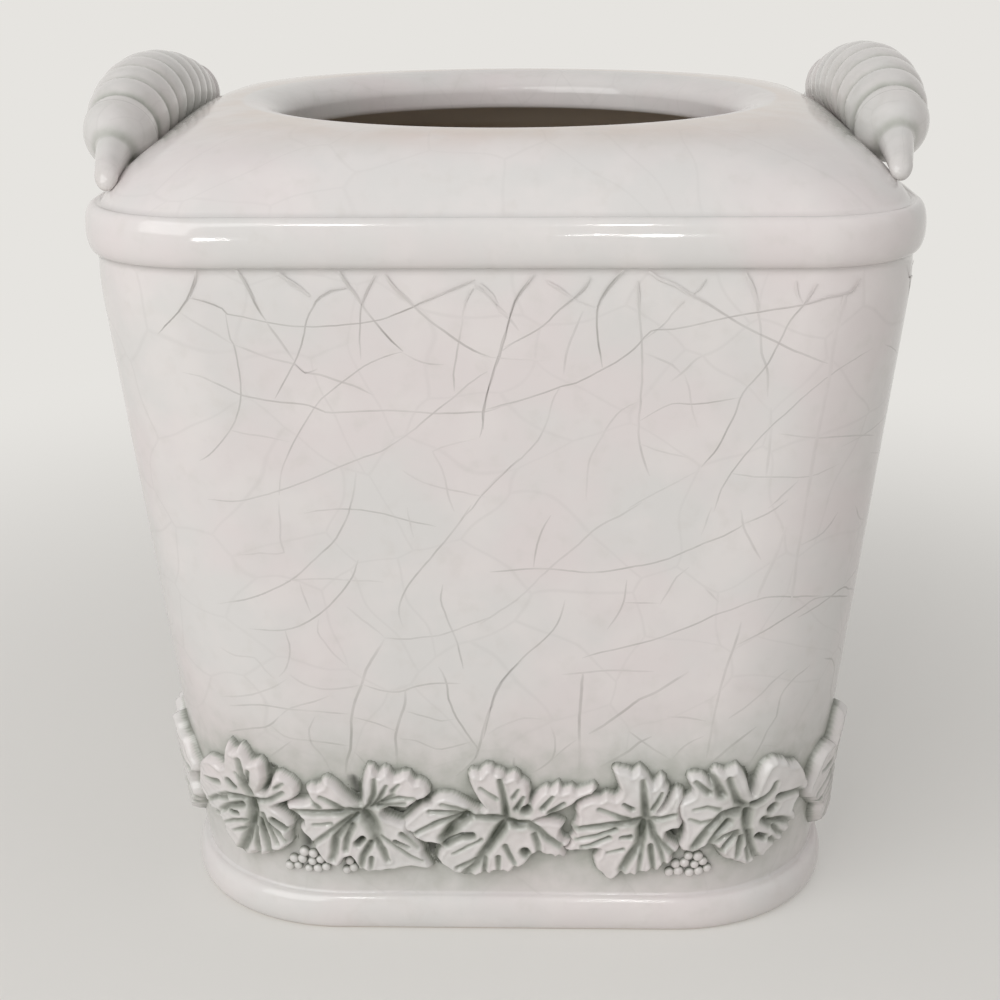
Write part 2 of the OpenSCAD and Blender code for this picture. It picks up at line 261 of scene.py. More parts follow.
def section():
    """Rows of the body's section: half width, corner radius, share towards a circle, height, inside."""
    s = sizes()
    rows = []
    under = rim_under()
    for a in np.linspace(-math.pi / 2, math.pi / 2, FOOT_ROWS):
        rows.append((s.wall_foot_w / 2 + s.foot_proud * max(math.cos(a), 0) ** BEAD_FULL,
                     s.foot_corner_r, 0, s.foot_h / 2 * (1 + math.sin(a)), 0))
    top = under - s.tuck_h
    for z in (*np.linspace(s.foot_h, BAND_TOP, BAND_STEPS)[1:], *np.linspace(BAND_TOP, top, WALL_STEPS)[1:]):
        rows.append((float(wall_half(z)), float(corner_r(z)), 0, z, 0))
    for t in np.linspace(0, 1, TUCK_STEPS)[1:-1]:
        z = under - s.tuck_h * (1 - t)
        rows.append((float(wall_half(z)) - s.rim_tuck * t * t, float(corner_r(z)), 0, z, 0))
    base = s.wall_top_w / 2 - s.rim_tuck
    for a in np.linspace(-math.pi / 2, math.pi / 2, RIM_ROWS):
        out = s.rim_proud * max(math.cos(a), 0) ** BEAD_FULL
        rows.append((base + out, s.rim_corner_r + out, 0, s.rim_z + s.rim_bead_h / 2 * math.sin(a), 0))
    groove_half = base - s.groove_d
    groove_z = s.rim_z + s.rim_bead_h / 2 - s.groove_d * 0.33
    crest_z = groove_z + s.shoulder_rise
    corner0 = s.rim_corner_r - s.groove_d

    def shoulder(t):
        half = mix(groove_half, s.crest_r, t)
        b = t ** ROUND_POWER
        return half, mix(corner0, half * CREST_CORNER, b), b, \
            mix(groove_z, crest_z, 1 - (1 - t) ** SHOULDER_POWER), 0
    for t in np.linspace(0, 1, SHOULDER_ROWS):
        rows.append(shoulder(t))
    for a in np.linspace(0, math.pi / 2, LIP_ROWS)[1:]:
        r = s.crest_r - (s.crest_r - s.opening_r) * math.sin(a)
        rows.append((r, r * CREST_CORNER, 1, crest_z - s.lip_roll_h * (1 - math.cos(a)), 0))
    for share, drop in ((0, 0.74), (0, 0.86), (0.02, 0.95), (0.07, 1), (0.14, 1), (0.21, 0.98), (0.33, 0.86)):
        r = mix(s.opening_r, s.crest_r, share)
        rows.append((r, r * CREST_CORNER, 1, crest_z - s.lip_h * drop, float(smooth(0.02, 0.3, share))))
    for t in np.linspace(1, 0, UNDER_ROWS):
        half, corner, b, z, _ = shoulder(t)
        slope = math.atan(s.shoulder_rise * SHOULDER_POWER * (1 - t) ** (SHOULDER_POWER - 1)
                          / (groove_half - s.crest_r))
        rows.append((half - s.wall_t * math.sin(slope), mix(INSIDE_CORNERS[1], half * CREST_CORNER, b), b,
                     z - s.wall_t * math.cos(slope), 1))
    for z in np.linspace(under, FOOT_EDGE, INSIDE_ROWS):
        share = (z - s.foot_h) / (under - s.foot_h)
        rows.append((float(wall_half(z)) - s.wall_t - (s.rim_tuck if z > under - 0.001 else 0),
                     mix(*INSIDE_CORNERS, share), 0, z, 1))
    rows.append((s.wall_foot_w / 2 - s.wall_t + FOOT_EDGE, INSIDE_CORNERS[0], 0, 0.0, 1))
    return np.array(rows)


def ring_point(half, r, b, k):
    """Point k of a rounded square drawn by share b towards a circle; k runs 0 to 4."""
    side = np.floor(k)
    f = (k - side) * (CORNER_STEPS + FLAT_STEPS)
    a = math.pi / 2 * np.minimum(f, CORNER_STEPS) / CORNER_STEPS
    straight = half - r
    g = np.clip((f - CORNER_STEPS) / FLAT_STEPS, 0, 1)
    x = np.where(f <= CORNER_STEPS, straight + r * np.cos(a), mix(straight, -straight, g))
    y = np.where(f <= CORNER_STEPS, straight + r * np.sin(a), half)
    norm = np.hypot(x, y)
    pull = 1 - b + b * half / norm
    turn = side * math.pi / 2
    return pull * (x * np.cos(turn) - y * np.sin(turn)), pull * (x * np.sin(turn) + y * np.cos(turn))


class COVER_OT_body(bpy.types.Operator):
    """Build the hollow body with its beads, shoulder and rolled lip"""
    bl_idname = "cover.body"
    bl_label = "Body"

    def execute(self, context):
        rows = section()
        count = len(rows)
        steps = CORNER_STEPS + FLAT_STEPS
        around = SIDES * steps
        # Way along the section, set so that it equals the height at a row of the wall
        ends = np.vstack([rows, rows[:1]])
        way = np.concatenate([[0], np.cumsum(np.hypot(*np.diff(ends[:, [0, 3]], axis=0).T))])
        way += rows[LEVEL_ROW, 3] - way[LEVEL_ROW]
        shade = band_shade()
        # The beads have no crackle, and the shoulder has more of the faint net than the wall
        rim, bead = sizes().rim_z, sizes().rim_bead_h
        net = np.where(ends[:, 3] < sizes().foot_h, 0, NET_WALL)
        net = np.where(ends[:, 3] > rim + bead / 2, NET_SHOULDER, net)
        net[np.abs(ends[:, 3] - rim) < bead * 0.55] = 0
        # Rows of the lip, from the crest inwards, where a little glaze has pooled
        lip = np.append(np.arange(count) >= LIP_START, False) & (ends[:, 4] < 1)
        # A painted warm reflection, which grows over the shoulder towards its crest
        painted_warm_reflection = smooth(sizes().wall_top_w / 2 - 0.008, sizes().crest_r, ends[:, 0]) * (ends[:, 4] == 0) \
            * (ends[:, 3] > rim + bead / 2) * ~lip

        def place(u, v):
            # The seam lies in the middle of the back
            k = np.rint(u * around) + CORNER_STEPS + FLAT_STEPS / 2
            i = np.rint(v * count).astype(int)
            half, r, b, z, inside = rows[i % count].T
            x, y = ring_point(half, r, b, (k / steps) % SIDES)
            s = ring_way(half, r, k / steps) * side_length(sizes().leaf_z)
            on_band = (inside == 0) & (i >= FOOT_ROWS) & (z < SHADE_TOP * MM)
            # On the band round the leaves: pooled glaze and painted shade, and painted shadow in the hollows
            pool_and_shade, hollow = shade(s / MM, z / MM)
            pool_and_shade, hollow = np.where(on_band, pool_and_shade, LIP_POOL * lip[i]), np.where(on_band, hollow, 0)
            # Painted shadow along the inner side of each handle, where it is luted to the shoulder
            seam = np.exp(-((np.abs(x) - SEAM_AT) / SEAM_WIDE) ** 2) * smooth(0.056, 0.040, np.abs(y))
            pool_and_shade = np.where(painted_warm_reflection[i] > 0, np.maximum(pool_and_shade, SEAM_SHADOW * seam), pool_and_shade)
            dent = HOLLOW_DENT * smooth(0.2, 0.9, hollow)
            pull = 1 - dent / np.hypot(x, y)
            return (np.stack([x * pull, y * pull, z], -1), np.stack([s, way[i]], -1),
                    {"inside": inside, "pool_and_shade": pool_and_shade, "hollow": hollow, "net": net[i], "painted_warm_reflection": painted_warm_reflection[i]})
        obj = sheet("cover_body", around, count, place)
        finish_piece(obj, "body_shell", glaze("Crackle glaze on cast ceramic"))
        return {"FINISHED"}


def ring_way(half, r, k):
    """Way round a ring in sides, from the middle of the front; k runs from the back on and round."""
    side = np.floor(k)
    f = (k - side) * (CORNER_STEPS + FLAT_STEPS)
    flat, corner = 2 * (half - r), math.pi / 2 * r
    way = np.where(f <= CORNER_STEPS, corner * f / CORNER_STEPS,
                   corner + flat * (f - CORNER_STEPS) / FLAT_STEPS)
    return side + way / (flat + corner) - 2 - (corner + flat / 2) / (flat + corner)


# The stretch of wall over which glaze pools and shade is painted round the leaves, and the step there, in mm
SHADE_FOOT, SHADE_TOP, SHADE_STEP = 8, 79, 0.5


def band_shade():
    """Where glaze pools and shade is painted on the wall round the leaves, and the painted shadow in the
    hollows there.
    """
    step = SHADE_STEP
    turn = SIDES * side_length(sizes().leaf_z) / MM
    across = int(round(turn / step))
    x = (np.arange(across) + 0.5) * turn / across - turn / 2
    y = np.arange(SHADE_FOOT, SHADE_TOP + 1, step)
    gx, gy = np.meshgrid(x, y)
    leafy = np.zeros(gx.shape)
    hollow = np.zeros(gx.shape)
    for kind, middle in zip(LEAF_KINDS, leaf_places()):
        pattern = LEAF_PATTERNS[kind]
        local = (gx - middle + turn / 2) % turn - turn / 2
        near = np.abs(local) < LEAF_REACH
        covered = inside_edge(local[near], gy[near], on_leaf(pattern, pattern["edge"])) > 0
        leafy[near] = np.maximum(leafy[near], covered)
        for row in pattern["holes"].strip().splitlines():
            radius, line = row.split(":")
            line = on_leaf(pattern, line)
            line = np.vstack([line, line[-1:] + 0.01])
            d, _ = to_line(local[near], gy[near], line)
            hollow[near] = np.maximum(hollow[near], 0.5 + 0.5 * (float(radius) - d))

    def blurred(field, width):
        reach = int(3 * width / step)
        bell = np.exp(-(np.arange(-reach, reach + 1) * step / width) ** 2 / 2)
        bell /= bell.sum()
        wide = np.pad(field, ((0, 0), (reach, reach)), mode="wrap")
        wide = np.apply_along_axis(np.convolve, 1, wide, bell, "valid")
        wide = np.pad(wide, ((reach, reach), (0, 0)), mode="edge")
        return np.apply_along_axis(np.convolve, 0, wide, bell, "valid")
    # Pooled glaze and painted shade: a dark edge close round the leaves and wider halos about them
    pool_and_shade = 0.55 * smooth(0.1, 0.75, blurred(leafy, 1.3)) + 0.3 * blurred(leafy, 3.5) \
        + 0.6 * blurred(leafy, 15.0)

    def shade(s, z):
        fx = ((s + turn / 2) / turn * across - 0.5) % across
        fy = np.clip((z - y[0]) / step, 0, len(y) - 1.001)
        i, j = np.floor(fx).astype(int), np.floor(fy).astype(int)
        a, b = fx - i, fy - j
        return [(field[j, i] * (1 - a) + field[j, (i + 1) % across] * a) * (1 - b)
                + (field[j + 1, i] * (1 - a) + field[j + 1, (i + 1) % across] * a) * b
                for field in (pool_and_shade, np.clip(hollow, 0, 1))]
    return shade


# Handles

# Places along a handle are shares of its half length, from its middle
RIB_GROOVES = (0.072, 0.216, 0.36, 0.505, 0.80)
RIB_DEPTH, ROUNDNESS = 0.0017, 2.6
BULB_START, BULB_LENGTH = 0.60, 0.175
NECK_START, NECK_ROOT_R = 0.70, 0.0040
CREASE_AT, CREASE_WIDE = 0.765, 0.02
ARCH_RISE, ARCH_LEAN, TIP_DROP = 0.0099, 0.0105, 0.0016
# The arch lies this much lower than in the CAD model, as in the photograph
HANDLE_DROP = 0.0016
HANDLE_INSET, HANDLE_BOW = 0.0030, 0.0036
GRIP_ROUND = 0.055


class COVER_OT_handles(bpy.types.Operator):
    """Build the two ribbed handles"""
    bl_idname = "cover.handles"
    bl_label = "Handles"

    def execute(self, context):
        s = sizes()
        for side, sign in (("left", -1), ("right", 1)):
            node = "handle_" + side
            low, high = (Vector(c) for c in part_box(node))
            setback = (low.y + high.y) / 2
            top = high.z
            tip = (high.y - low.y) / 2 / s.handle_half - 1
            base = s.wall_top_w / 2 - s.rim_tuck - HANDLE_INSET

            def place(u, v):
                w = (v * 2 - 1) * (1 + tip)
                a = u * 2 * math.pi
                m = np.abs(w)
                m1 = np.minimum(m, 1)
                ribbed = s.handle_r * (1 - 0.70 * m1 * m1)
                past = np.clip(m1 - BULB_START, 0, None) / BULB_LENGTH
                bulb = ribbed * np.sqrt(np.clip(1 - past ** ROUNDNESS, 0, 1))
                neck = mix(NECK_ROOT_R, s.neck_r, np.clip((m1 - NECK_START) / (1 - NECK_START), 0, 1) ** 0.8)
                full = np.where(m1 < BULB_START, bulb, (bulb ** 3 + neck ** 3) ** (1 / 3))
                full = np.where(m > 1, s.neck_r * np.sqrt(np.clip(1 - ((m - 1) / tip) ** 2, 0, 1)), full)
                edges = np.array([-g for g in RIB_GROOVES[::-1]] + list(RIB_GROOVES))
                i = np.clip(np.searchsorted(edges, w) - 1, 0, len(edges) - 2)
                f = (w - edges[i]) / (edges[i + 1] - edges[i])
                q = np.clip(2 * f - 1, -1, 1)
                # The bulb at each end has a groove on its inner side alone
                q = np.where((m > RIB_GROOVES[-2]) & (q * np.sign(w) > 0), 0, q)
                cut = RIB_DEPTH * (1 - np.sqrt(np.clip(1 - np.abs(q) ** ROUNDNESS, 0, 1)))
                r = np.where(m < RIB_GROOVES[-1], full - cut, full)
                # Painted shade in the crease under each bulb and, with pooled glaze, in the grooves, over a
                # greener tint of the whole handle
                crease = np.exp(-((m - CREASE_AT) / CREASE_WIDE) ** 2)
                tint_and_shade = 0.12 + 0.38 * np.where(m < RIB_GROOVES[-1], np.abs(q) ** 7, 0) + 0.22 * crease
                lean = np.where(m < 1, ARCH_LEAN * w * (1 - w * w), 0)
                arch = ARCH_RISE * (1 - m1 ** 1.8) - TIP_DROP * np.clip(m - 1, 0, None) / tip
                x = base + HANDLE_BOW * (1 - w * w) + r * np.sin(a)
                y = setback + w * s.handle_half + lean * np.cos(a)
                z = top - ARCH_RISE - s.handle_r + arch - HANDLE_DROP * (1 - m1 ** 4) + r * np.cos(a)
                # Each handle has its own stretch of the glaze's pattern
                unrolled = np.stack([(u - 0.5) * GRIP_ROUND + 0.3 * sign, w * s.handle_half], -1)
                return (np.stack([sign * x, y, z], -1), unrolled,
                        {"pool_and_shade": tint_and_shade, "net": np.full(len(x), NET_HANDLE)})
            obj = sheet("grip_" + side, 56, 330, place)
            finish_piece(obj, node, glaze("Crackle glaze on luted handles"))
        return {"FINISHED"}


# Leaves: five patterns, read off the unrolled front wall, in mm from the middle of the
# front and up from the table, with the place of the leaf's middle. The heart is where its veins
# meet. Each hole between the leaves starts with its radius. Each cut in a leaf starts with its
# half width and its depth, and runs from root to tip.

LEAF_PATTERNS = [
    # broad leaf with a low right lobe
    {"middle": 0, "heart": (0, 28.3),
     "holes": """
        1.9: -15.3,20
        0.7: -15,19 -13.8,16""",
     "edge": """
        -4.2,30.6 -5.4,32.5 -6.4,34.5 -7,36.5 -7.2,38.2 -6.6,39.2 -5.6,39 -5,38.6 -4.5,39.6 -3.6,40.4
        -2.6,40.2 -2,39.3 -1.2,39.4 -0.3,38.9 0.2,37.9 1,38.3 2,38.9 2.8,38.2 3.1,37.2 3.9,36.9 4.7,36.1
        5,34.5 4.8,32.6 4.9,31.2 5.4,31.6 6,32.9 7,34.3 8.4,35.5 9.4,34.8 10.8,36.2 11.6,34.8 13.5,35.6
        14.6,34.5 16.4,35.2 17.9,36 18.6,35 17.8,33.7 16.2,33 14.8,32.4 13.8,31.4 12.4,30.7 11.2,30
        9.6,29.3 7.6,28.5 6.2,28 7.6,27.9 9.6,27.7 11.2,27.5 12.3,26.9 11.6,25.6 11.4,24.3 12.2,23
        13.6,22.6 13.3,21.6 12,21.1 12.9,19.2 12.4,18.3 11.3,19.2 10.6,18.3 9.6,19.4 8.6,19.2 7.4,20
        6.3,19.8 5.6,19.2 4.9,18.2 4.2,17 3,16.2 2,16.5 1.4,15.4 0.4,14.8 -0.6,15.4 -1.4,14.8 -2.3,15.3
        -3.4,14.4 -4.4,15 -5.4,14.4 -6.4,13.9 -7.4,14.3 -8.8,13.7 -9.8,14.3 -11.2,14.6 -12.4,15.6
        -13.7,16.6 -14.4,17.9 -14,19.3 -13.2,20.6 -14,21.6 -15.4,21.8 -17,21.8 -18.2,22.4 -19.2,23.2
        -19.6,24.3 -20.6,24.6 -22,25.7 -20.8,27 -19.4,28.4 -18.2,29.8 -17,30.9 -15.4,31.3 -14.9,32.4
        -13.8,33.2 -12.4,33.6 -11,33.4 -9.4,32.8 -7.8,31.7 -6.4,30.6 -5,29.9""",
     "cuts": """
        0.9 1.1: 0.2,28 0.1,31 -0.3,34 -1,37.5
        0.6 0.6: -1.7,33.2 -5,35.7
        0.6 0.6: 1.7,33.5 2.7,35.3
        0.7 0.8: 2.3,30.7 3.8,33.6
        1.1 2.1: 4.2,30.3 4.5,30.6
        0.9 1: 0,28.3 -6,28.9 -10,29.8 -15.5,29.8
        0.9 1: -9,29.3 -14.3,27 -18.7,24.2
        0.65 0.6: -7.7,30.3 -13,31.7
        1.6 1.7: -7.8,29 -10.5,26.5 -12.5,23.3
        1 1.7: -7,24.1 -9,24 -11.5,22.7 -12.6,21.8
        1.4 1.3: -0.3,26.8 -3,22.3 -5.3,18.7 -6.7,16.7 -9,14
        0.8 0.8: -6.3,18.3 -10.3,16
        0.6 0.5: -5,23.3 -11,19.7
        0.8 0.9: -4.3,18.7 -4.5,15
        0.7 0.8: -1.5,19 -1.5,15.5
        0.7 0.8: 0,21.7 1.2,19 2,17.5
        1.2 1.2: 0.6,27.5 2.5,26.9 5,27.2 6.5,26 9,23.6 11.4,21.9
        0.9 1: 6.2,24.5 6.9,22 7,20.3
        0.7 0.8: 7.7,31 9.7,33.7
        0.8 0.9: 9.3,30 12,32
        0.6 0.6: 15,32.6 17,33.8
        1.1 2.1: 4.1,20.3 4.4,19.9"""},
    # leaf with an upright middle lobe
    {"middle": 29.1, "heart": (29, 28.3),
     "holes": """
        1.3: 34.8,22.6 35,24.2
        0.8: 15,19.3""",
     "edge": """
        23.4,35 22.8,36.6 22.2,38.2 21.7,39.6 22.3,40.2 23.5,39.8 24.6,39.6 25.6,38.9 26.2,39.6
        26.9,40.3 27.8,39.4 28.6,38.4 29.3,37 30,36.1 30.6,37.3 31.3,38.3 32.1,37.6 32.3,36.4 33,35.6
        33.1,34.4 32.6,32.6 32,31.2 31.5,30.2 32.4,30.9 33.2,32.4 33.8,34 34.7,35.3 35.8,34.8 36.2,33
        35.7,31 35.9,29 36.6,27.3 36.1,26 34.6,25.9 33.4,25.2 33.3,24 33.9,22.9 35.2,21.9 36.3,21.2
        36,20.1 35,19.4 35.2,18.2 34.3,17.3 33.4,17.4 32.8,16.1 31.7,15.5 30.9,16 30,14.9 29,15.4
        28.2,14.7 27.2,14.2 26.4,14.8 25.4,14.4 24.5,15.2 23.6,13.7 22.4,12.8 21.2,13.6 20.4,14.8
        19.4,15.6 18.9,17 18.7,18.4 19.6,19.6 19.8,20.8 18.4,21 17,20.6 15.4,20.4 13.8,20 12.3,20.4
        13.2,21.6 14,22.5 13.6,23.3 14.4,24.3 13.9,25.9 14.6,27 14.9,28.4 14.5,30 14.8,31.4 16,32.4
        17.8,33 19.4,33 20.5,34 21.6,33.6 22.6,33.2 23.2,34""",
     "cuts": """
        0.6 1.2: 26,30.8 24.2,32
        0.6 1.2: 26,24.2 24,24
        1 1.1: 29,28.6 28.6,31 28.2,34 27.8,37.5
        0.6 0.7: 30,30.6 31,32.6 31.8,34.8
        1 1: 28,28 23,27.3 14.5,26
        0.8 0.8: 25.3,28.3 23.3,29 19.2,30.8
        0.75 0.8: 22.7,26 19,24.4 14.7,23.4
        0.75 0.8: 21.5,24 18,22.2 16,21.6
        0.55 0.5: 24.6,21.2 21.3,20.3
        1.4 1.3: 28.5,27.4 28.3,26.3 28,22.3 26.3,19.7 24.7,16.3
        0.8 0.8: 28.6,24 28.4,20 28.2,15.4
        0.8 0.9: 30.3,22 30.9,18.5 31.3,16.3
        0.75 0.8: 31,24.5 32.6,20.8 33.4,18
        1 1: 29.6,27.5 31,24.3 33.3,22 35.6,19.7
        0.8 0.7: 29.6,28.4 32,28.6 35,29.6"""},
    # leaf with a long left lobe
    {"middle": -29.1, "heart": (-29.5, 29.8),
     "holes": """
        0.8: -33,17.6
        0.7: -42.3,26.6 -42.1,27.6
        1.3: -42.2,20.2 -42.2,22.8
        0.9: -24.6,29.3 -20.7,27.6
        0.7: -17.3,31.2 -19.7,29.3
        1.1: -29.8,32 -31.1,36""",
     "edge": """
        -29.3,31.2 -29,33 -28.9,35 -28.5,37 -28,38.6 -27.3,40.1 -26.5,40 -25.9,38.9 -25.5,38.2
        -24.9,38.8 -24.2,39.6 -23.4,39.3 -22.9,38.2 -22.3,37.6 -21.4,37.9 -20.4,38.6 -19.2,38.5
        -18.7,37.4 -18.2,36.7 -17.2,36.9 -16,36.1 -15.3,34.8 -15.4,33.6 -16.4,32.8 -17.8,32.4 -18.8,31.4
        -20.2,30.6 -22,30.8 -23.8,30.7 -25,30.1 -25.3,29.2 -24.6,28.3 -23.2,27.7 -21.8,27 -20.6,26.8
        -20.4,25.6 -20,24.4 -19,23.2 -18,21.6 -17.3,20.4 -17.2,19.2 -16.6,18 -16,16.8 -15.4,15.8
        -16.6,15.3 -18.2,15.5 -20,16 -22,15.8 -23.6,15.3 -25.2,15.2 -26.6,14.8 -28,15 -29.2,14.7
        -30.2,15.4 -31.2,15.2 -31.6,16.4 -32.2,17.8 -32.8,18.7 -33.9,18.3 -34.7,17.2 -35.2,16.2
        -36.2,15.8 -37.2,16.5 -38.3,17 -39,18.1 -39.5,19.3 -40,20.5 -40.2,21.8 -41,23 -42,24.2
        -42.5,25.2 -41.7,26 -41.6,27.4 -42.4,28.4 -43.8,29.2 -44.8,30.4 -44.2,31.4 -42.8,31.7 -41,31.7
        -39.7,32.2 -40,33.6 -40.3,34.8 -39.4,35.5 -38.2,35.3 -37.2,35.8 -36.8,36.8 -36,37.2 -35.2,36.7
        -34.2,35.8 -33.2,34.5 -32.2,33.2 -31,31.9 -30,31""",
     "cuts": """
        0.8 0.9: -29,30 -27.6,31.5 -26.6,34 -26.3,37.5
        0.75 0.8: -27,31.2 -25.6,33 -24,36
        0.8 0.8: -27.5,30.8 -25,32.4 -22.6,34
        0.8 0.8: -25,32.2 -22,33.2 -18.5,33
        0.8 0.8: -26,31.2 -24,31.6 -20.5,31.9
        0.6 0.6: -22.8,34.8 -21.4,36.4
        1.1 1.1: -29.8,29.8 -34,29.7 -39,29.5 -43,29.6
        0.75 0.8: -33.3,30.3 -35.5,32 -37.7,33.3
        0.6 0.6: -38,30.7 -39.7,32.7
        0.6 0.5: -36,26.8 -39.5,26.7
        0.9 0.9: -31.5,28.6 -34.5,26.4 -38,23.6 -40,21.8
        1.2 1.2: -30.3,28.8 -32.7,26.7 -35.3,23.7 -36,19.7 -36.7,18
        1 1: -31.7,26.5 -33,23.5 -33.6,20.5
        0.8 1.9: -29.8,23.2 -31,22
        2 1.3: -28.8,29 -27.6,27 -27,25 -26.8,23
        1 1: -26.8,23 -25.6,20.5 -24.9,18
        1 1: -28,22.4 -30,19 -30.6,16.4
        0.7 0.7: -28.3,18.5 -28.6,16
        0.6 0.6: -25.8,24 -23,21.6 -20,19 -17.6,17.6
        0.6 1.3: -23,22.6 -20.3,21.2
        0.7 0.8: -21.5,24.5 -19.8,22.8 -18.4,21"""},
    # leaf with a spiky top
    {"middle": -53.8, "heart": (-52, 30.6),
     "holes": """
        0.9: -47.6,38.2 -49.8,33.4""",
     "edge": """
        -57.8,37.2 -57.4,38.8 -57,40.4 -56.5,42 -55.9,43.4 -55.3,42.6 -54.9,41.6 -54,42.2 -53,43.3
        -52.3,42.4 -51.8,41 -51.2,39.6 -50.2,40.2 -49.3,40.6 -48.6,39.8 -48.5,38.4 -48.4,36.8 -48.8,35.2
        -49.5,33.9 -50.1,32.8 -49.3,32.5 -48.4,33.4 -47.6,34.8 -47,36.4 -46.2,37.6 -45.2,38 -44.2,37.3
        -43.2,36.8 -42.2,35.6 -41.9,34.2 -42.4,32.9 -43.8,31.8 -45.4,31 -46.6,30.4 -47.4,29.6 -46.2,29
        -45,28.2 -44.2,27.2 -43.9,26 -44.5,24.8 -45,23.6 -45.1,22.3 -44.9,21.2 -45.8,20.2 -46.9,19.2
        -47.8,18.6 -48.6,18.8 -49.4,17.6 -50.3,17.8 -51,16.8 -52.2,16.4 -53.2,17.2 -54.2,16 -55.6,15.6
        -57,15.2 -58.4,16 -59.6,17.4 -60.6,18.8 -61.2,20.4 -60.8,21.8 -61.4,23 -62.8,23 -64,24.2
        -65.4,25.4 -67,26.4 -68.1,28 -67.8,29.8 -67,31.4 -66.6,33 -66,34.6 -65,36 -63.6,37 -62,37.4
        -60,37.2 -58.8,36.6""",
     "cuts": """
        0.8 1.9: -55.8,33 -56.8,34
        0.8 1.8: -47.8,26.6 -45.4,25
        0.6 1.5: -56,26.3 -58,26
        0.6 1.3: -61.8,24.4 -63.4,24.4
        1 1.1: -52.3,32 -53,34 -53.2,37 -53.4,40
        0.6 0.7: -53.4,34.8 -54.6,36.6
        0.7 0.8: -52.4,35 -51.6,37.8
        0.9 0.9: -53,30.6 -58,30.3 -60,29.4
        0.8 0.8: -58.5,29.2 -61.5,28.3 -64.5,26.3
        0.8 0.8: -60,32.6 -64,32
        1 1: -54.5,28.8 -58,27.4 -60.5,25.4
        0.6 0.6: -54,25.2 -57.5,24 -60,22.6
        0.6 0.6: -54.6,23 -58,21.2
        1.5 1.4: -52.2,30 -51.9,27.5 -52.6,25 -54,21.5 -56,18 -57.4,16
        0.9 1: -52,24 -52.2,20 -52.3,17.2
        1.1 1.1: -50.6,26 -49.9,22 -49.6,18.6
        0.8 0.9: -50,27.5 -48.6,24 -47.6,20.8
        0.8 0.9: -49.4,25.8 -47,23.6 -45.8,21.8
        0.8 0.8: -51.4,30.8 -49.6,31 -47.6,31.8 -45,33.8
        0.6 0.5: -46.2,34.8 -44.6,36.2"""},
    # leaf with two upper lobes
    {"middle": 51, "heart": (49, 30),
     "holes": """
        0.7: 48.1,38.2 50.1,33.8
        0.7: 42,20.2""",
     "edge": """
        36.8,37.6 36.9,38.5 38,38.8 39.5,38.5 40.6,37.6 41.5,36.4 41.6,37.6 41.3,39 41.9,40.1 42.9,39.7
        43.9,39.1 45,39.7 46.1,40.3 46.9,39.4 47.8,38.2 48.5,36.8 49.1,35.1 49.7,33.4 50.2,32.8 50.6,34
        50.9,35.8 51.4,37.6 52.1,39.2 53,40.1 54.3,40.5 55.5,39.8 56.9,39.4 57.9,38.3 59.2,37.8
        60.6,37.6 61.6,36.5 62.4,35.2 63.2,33.8 64.2,32.4 64.4,31 63.2,30 61.8,29.2 61,27.8 60.8,26.4
        61.9,25.4 62.3,24.1 61.4,22.6 60,21.5 59.3,20.1 58,19.2 56.6,18.5 55.4,17.3 54.2,16.2 52.9,16.4
        51.7,15.6 50.5,15.3 49.5,16.2 48.3,16.6 47.2,17.6 46,17.8 45,19.2 44.2,20.6 43.2,21.8 42.2,21.6
        41,21.4 40.1,20.5 39,20.1 38,20.5 37,20.3 36.5,21.6 37,23.4 37.2,25.2 36.9,27 36.1,28.4 35.6,30
        35.3,31.6 35.8,32.8 37,33.3 38,34 38,35.2 37.3,36.4""",
     "cuts": """
        0.9 0.9: 41,35 38.4,37.4
        1.2 1.2: 43.6,34.2 42.4,36.4 41.5,38.6
        1 1: 48.6,30.6 47,32 45.4,35.5 44.6,38
        0.6 0.5: 43.3,30.8 41,31.4 38.5,30.8
        0.6 0.5: 42,28.2 40,27.7 37.9,28.6
        1.3 1.2: 47.6,29.6 44.4,29.3 41.7,26 40.3,23.7 39.3,21.7
        1.2 1.1: 45.4,27.4 43.4,24.6 42.2,22.2
        0.8 0.9: 47.5,24.6 45,24 43.4,22.8
        1 1: 47.5,24 45.8,22 44.6,20.2
        1.4 1.3: 49.2,29 49.6,24.5
        1 1: 48.6,23 48.5,20.5 48.4,18.6
        1.1 1.1: 50,24 51,20.6 52.2,18 54,16
        0.7 0.8: 50.3,20 51,17
        1.1 2: 54.7,28.7 55.1,28.9
        0.8 1.9: 52.3,22.6 54.2,21.6
        1.2 1.3: 53.4,26.2 55,24.4
        1 1: 50.2,30.8 52.6,31.6 54,33 54.6,35
        1 1: 56,31.3 61,31 63,29.8
        1.1 1.1: 54.6,25.6 57.6,25 59.6,24 61.3,22.4
        0.8 0.9: 55.8,24 57.4,22 59.4,20.6
        0.8 0.8: 55.5,21 57.5,19.4"""},
]
# Which pattern each leaf has, and where the front ones stand, in steps of the even spacing
LEAF_KINDS = (3, 2, 0, 1, 4, 3, 2, 0, 1, 4, 3, 0, 1, 2, 4, 3, 1, 4)
FRONT_PLACES = (-1.92, -1.04, 0, 1.04, 1.82)
# In mm: reach of a pattern to either side, the grid's step and margin, and the relief's height
LEAF_REACH = 26
LEAF_STEP, LEAF_MARGIN = 0.3, 1.5
LEAF_HIGH, EDGE_BEAD = 2.35, 0.22
# Cuts as shares of the widths and depths in the patterns, and the lips that stand up beside them
CUT_SHARE, CUT_DEPTH, LIP_HIGH = 0.78, 1.1, 0.24
# A cut deeper than this is a pit
PIT_DEPTH = 1.45


def points(text):
    return np.array([[float(c) for c in pair.split(",")] for pair in text.split()])


def on_leaf(pattern, text):
    """Places of a pattern in mm, from the leaf's middle and up from the table."""
    return np.round(points(text) - (pattern["middle"], 0), 1)


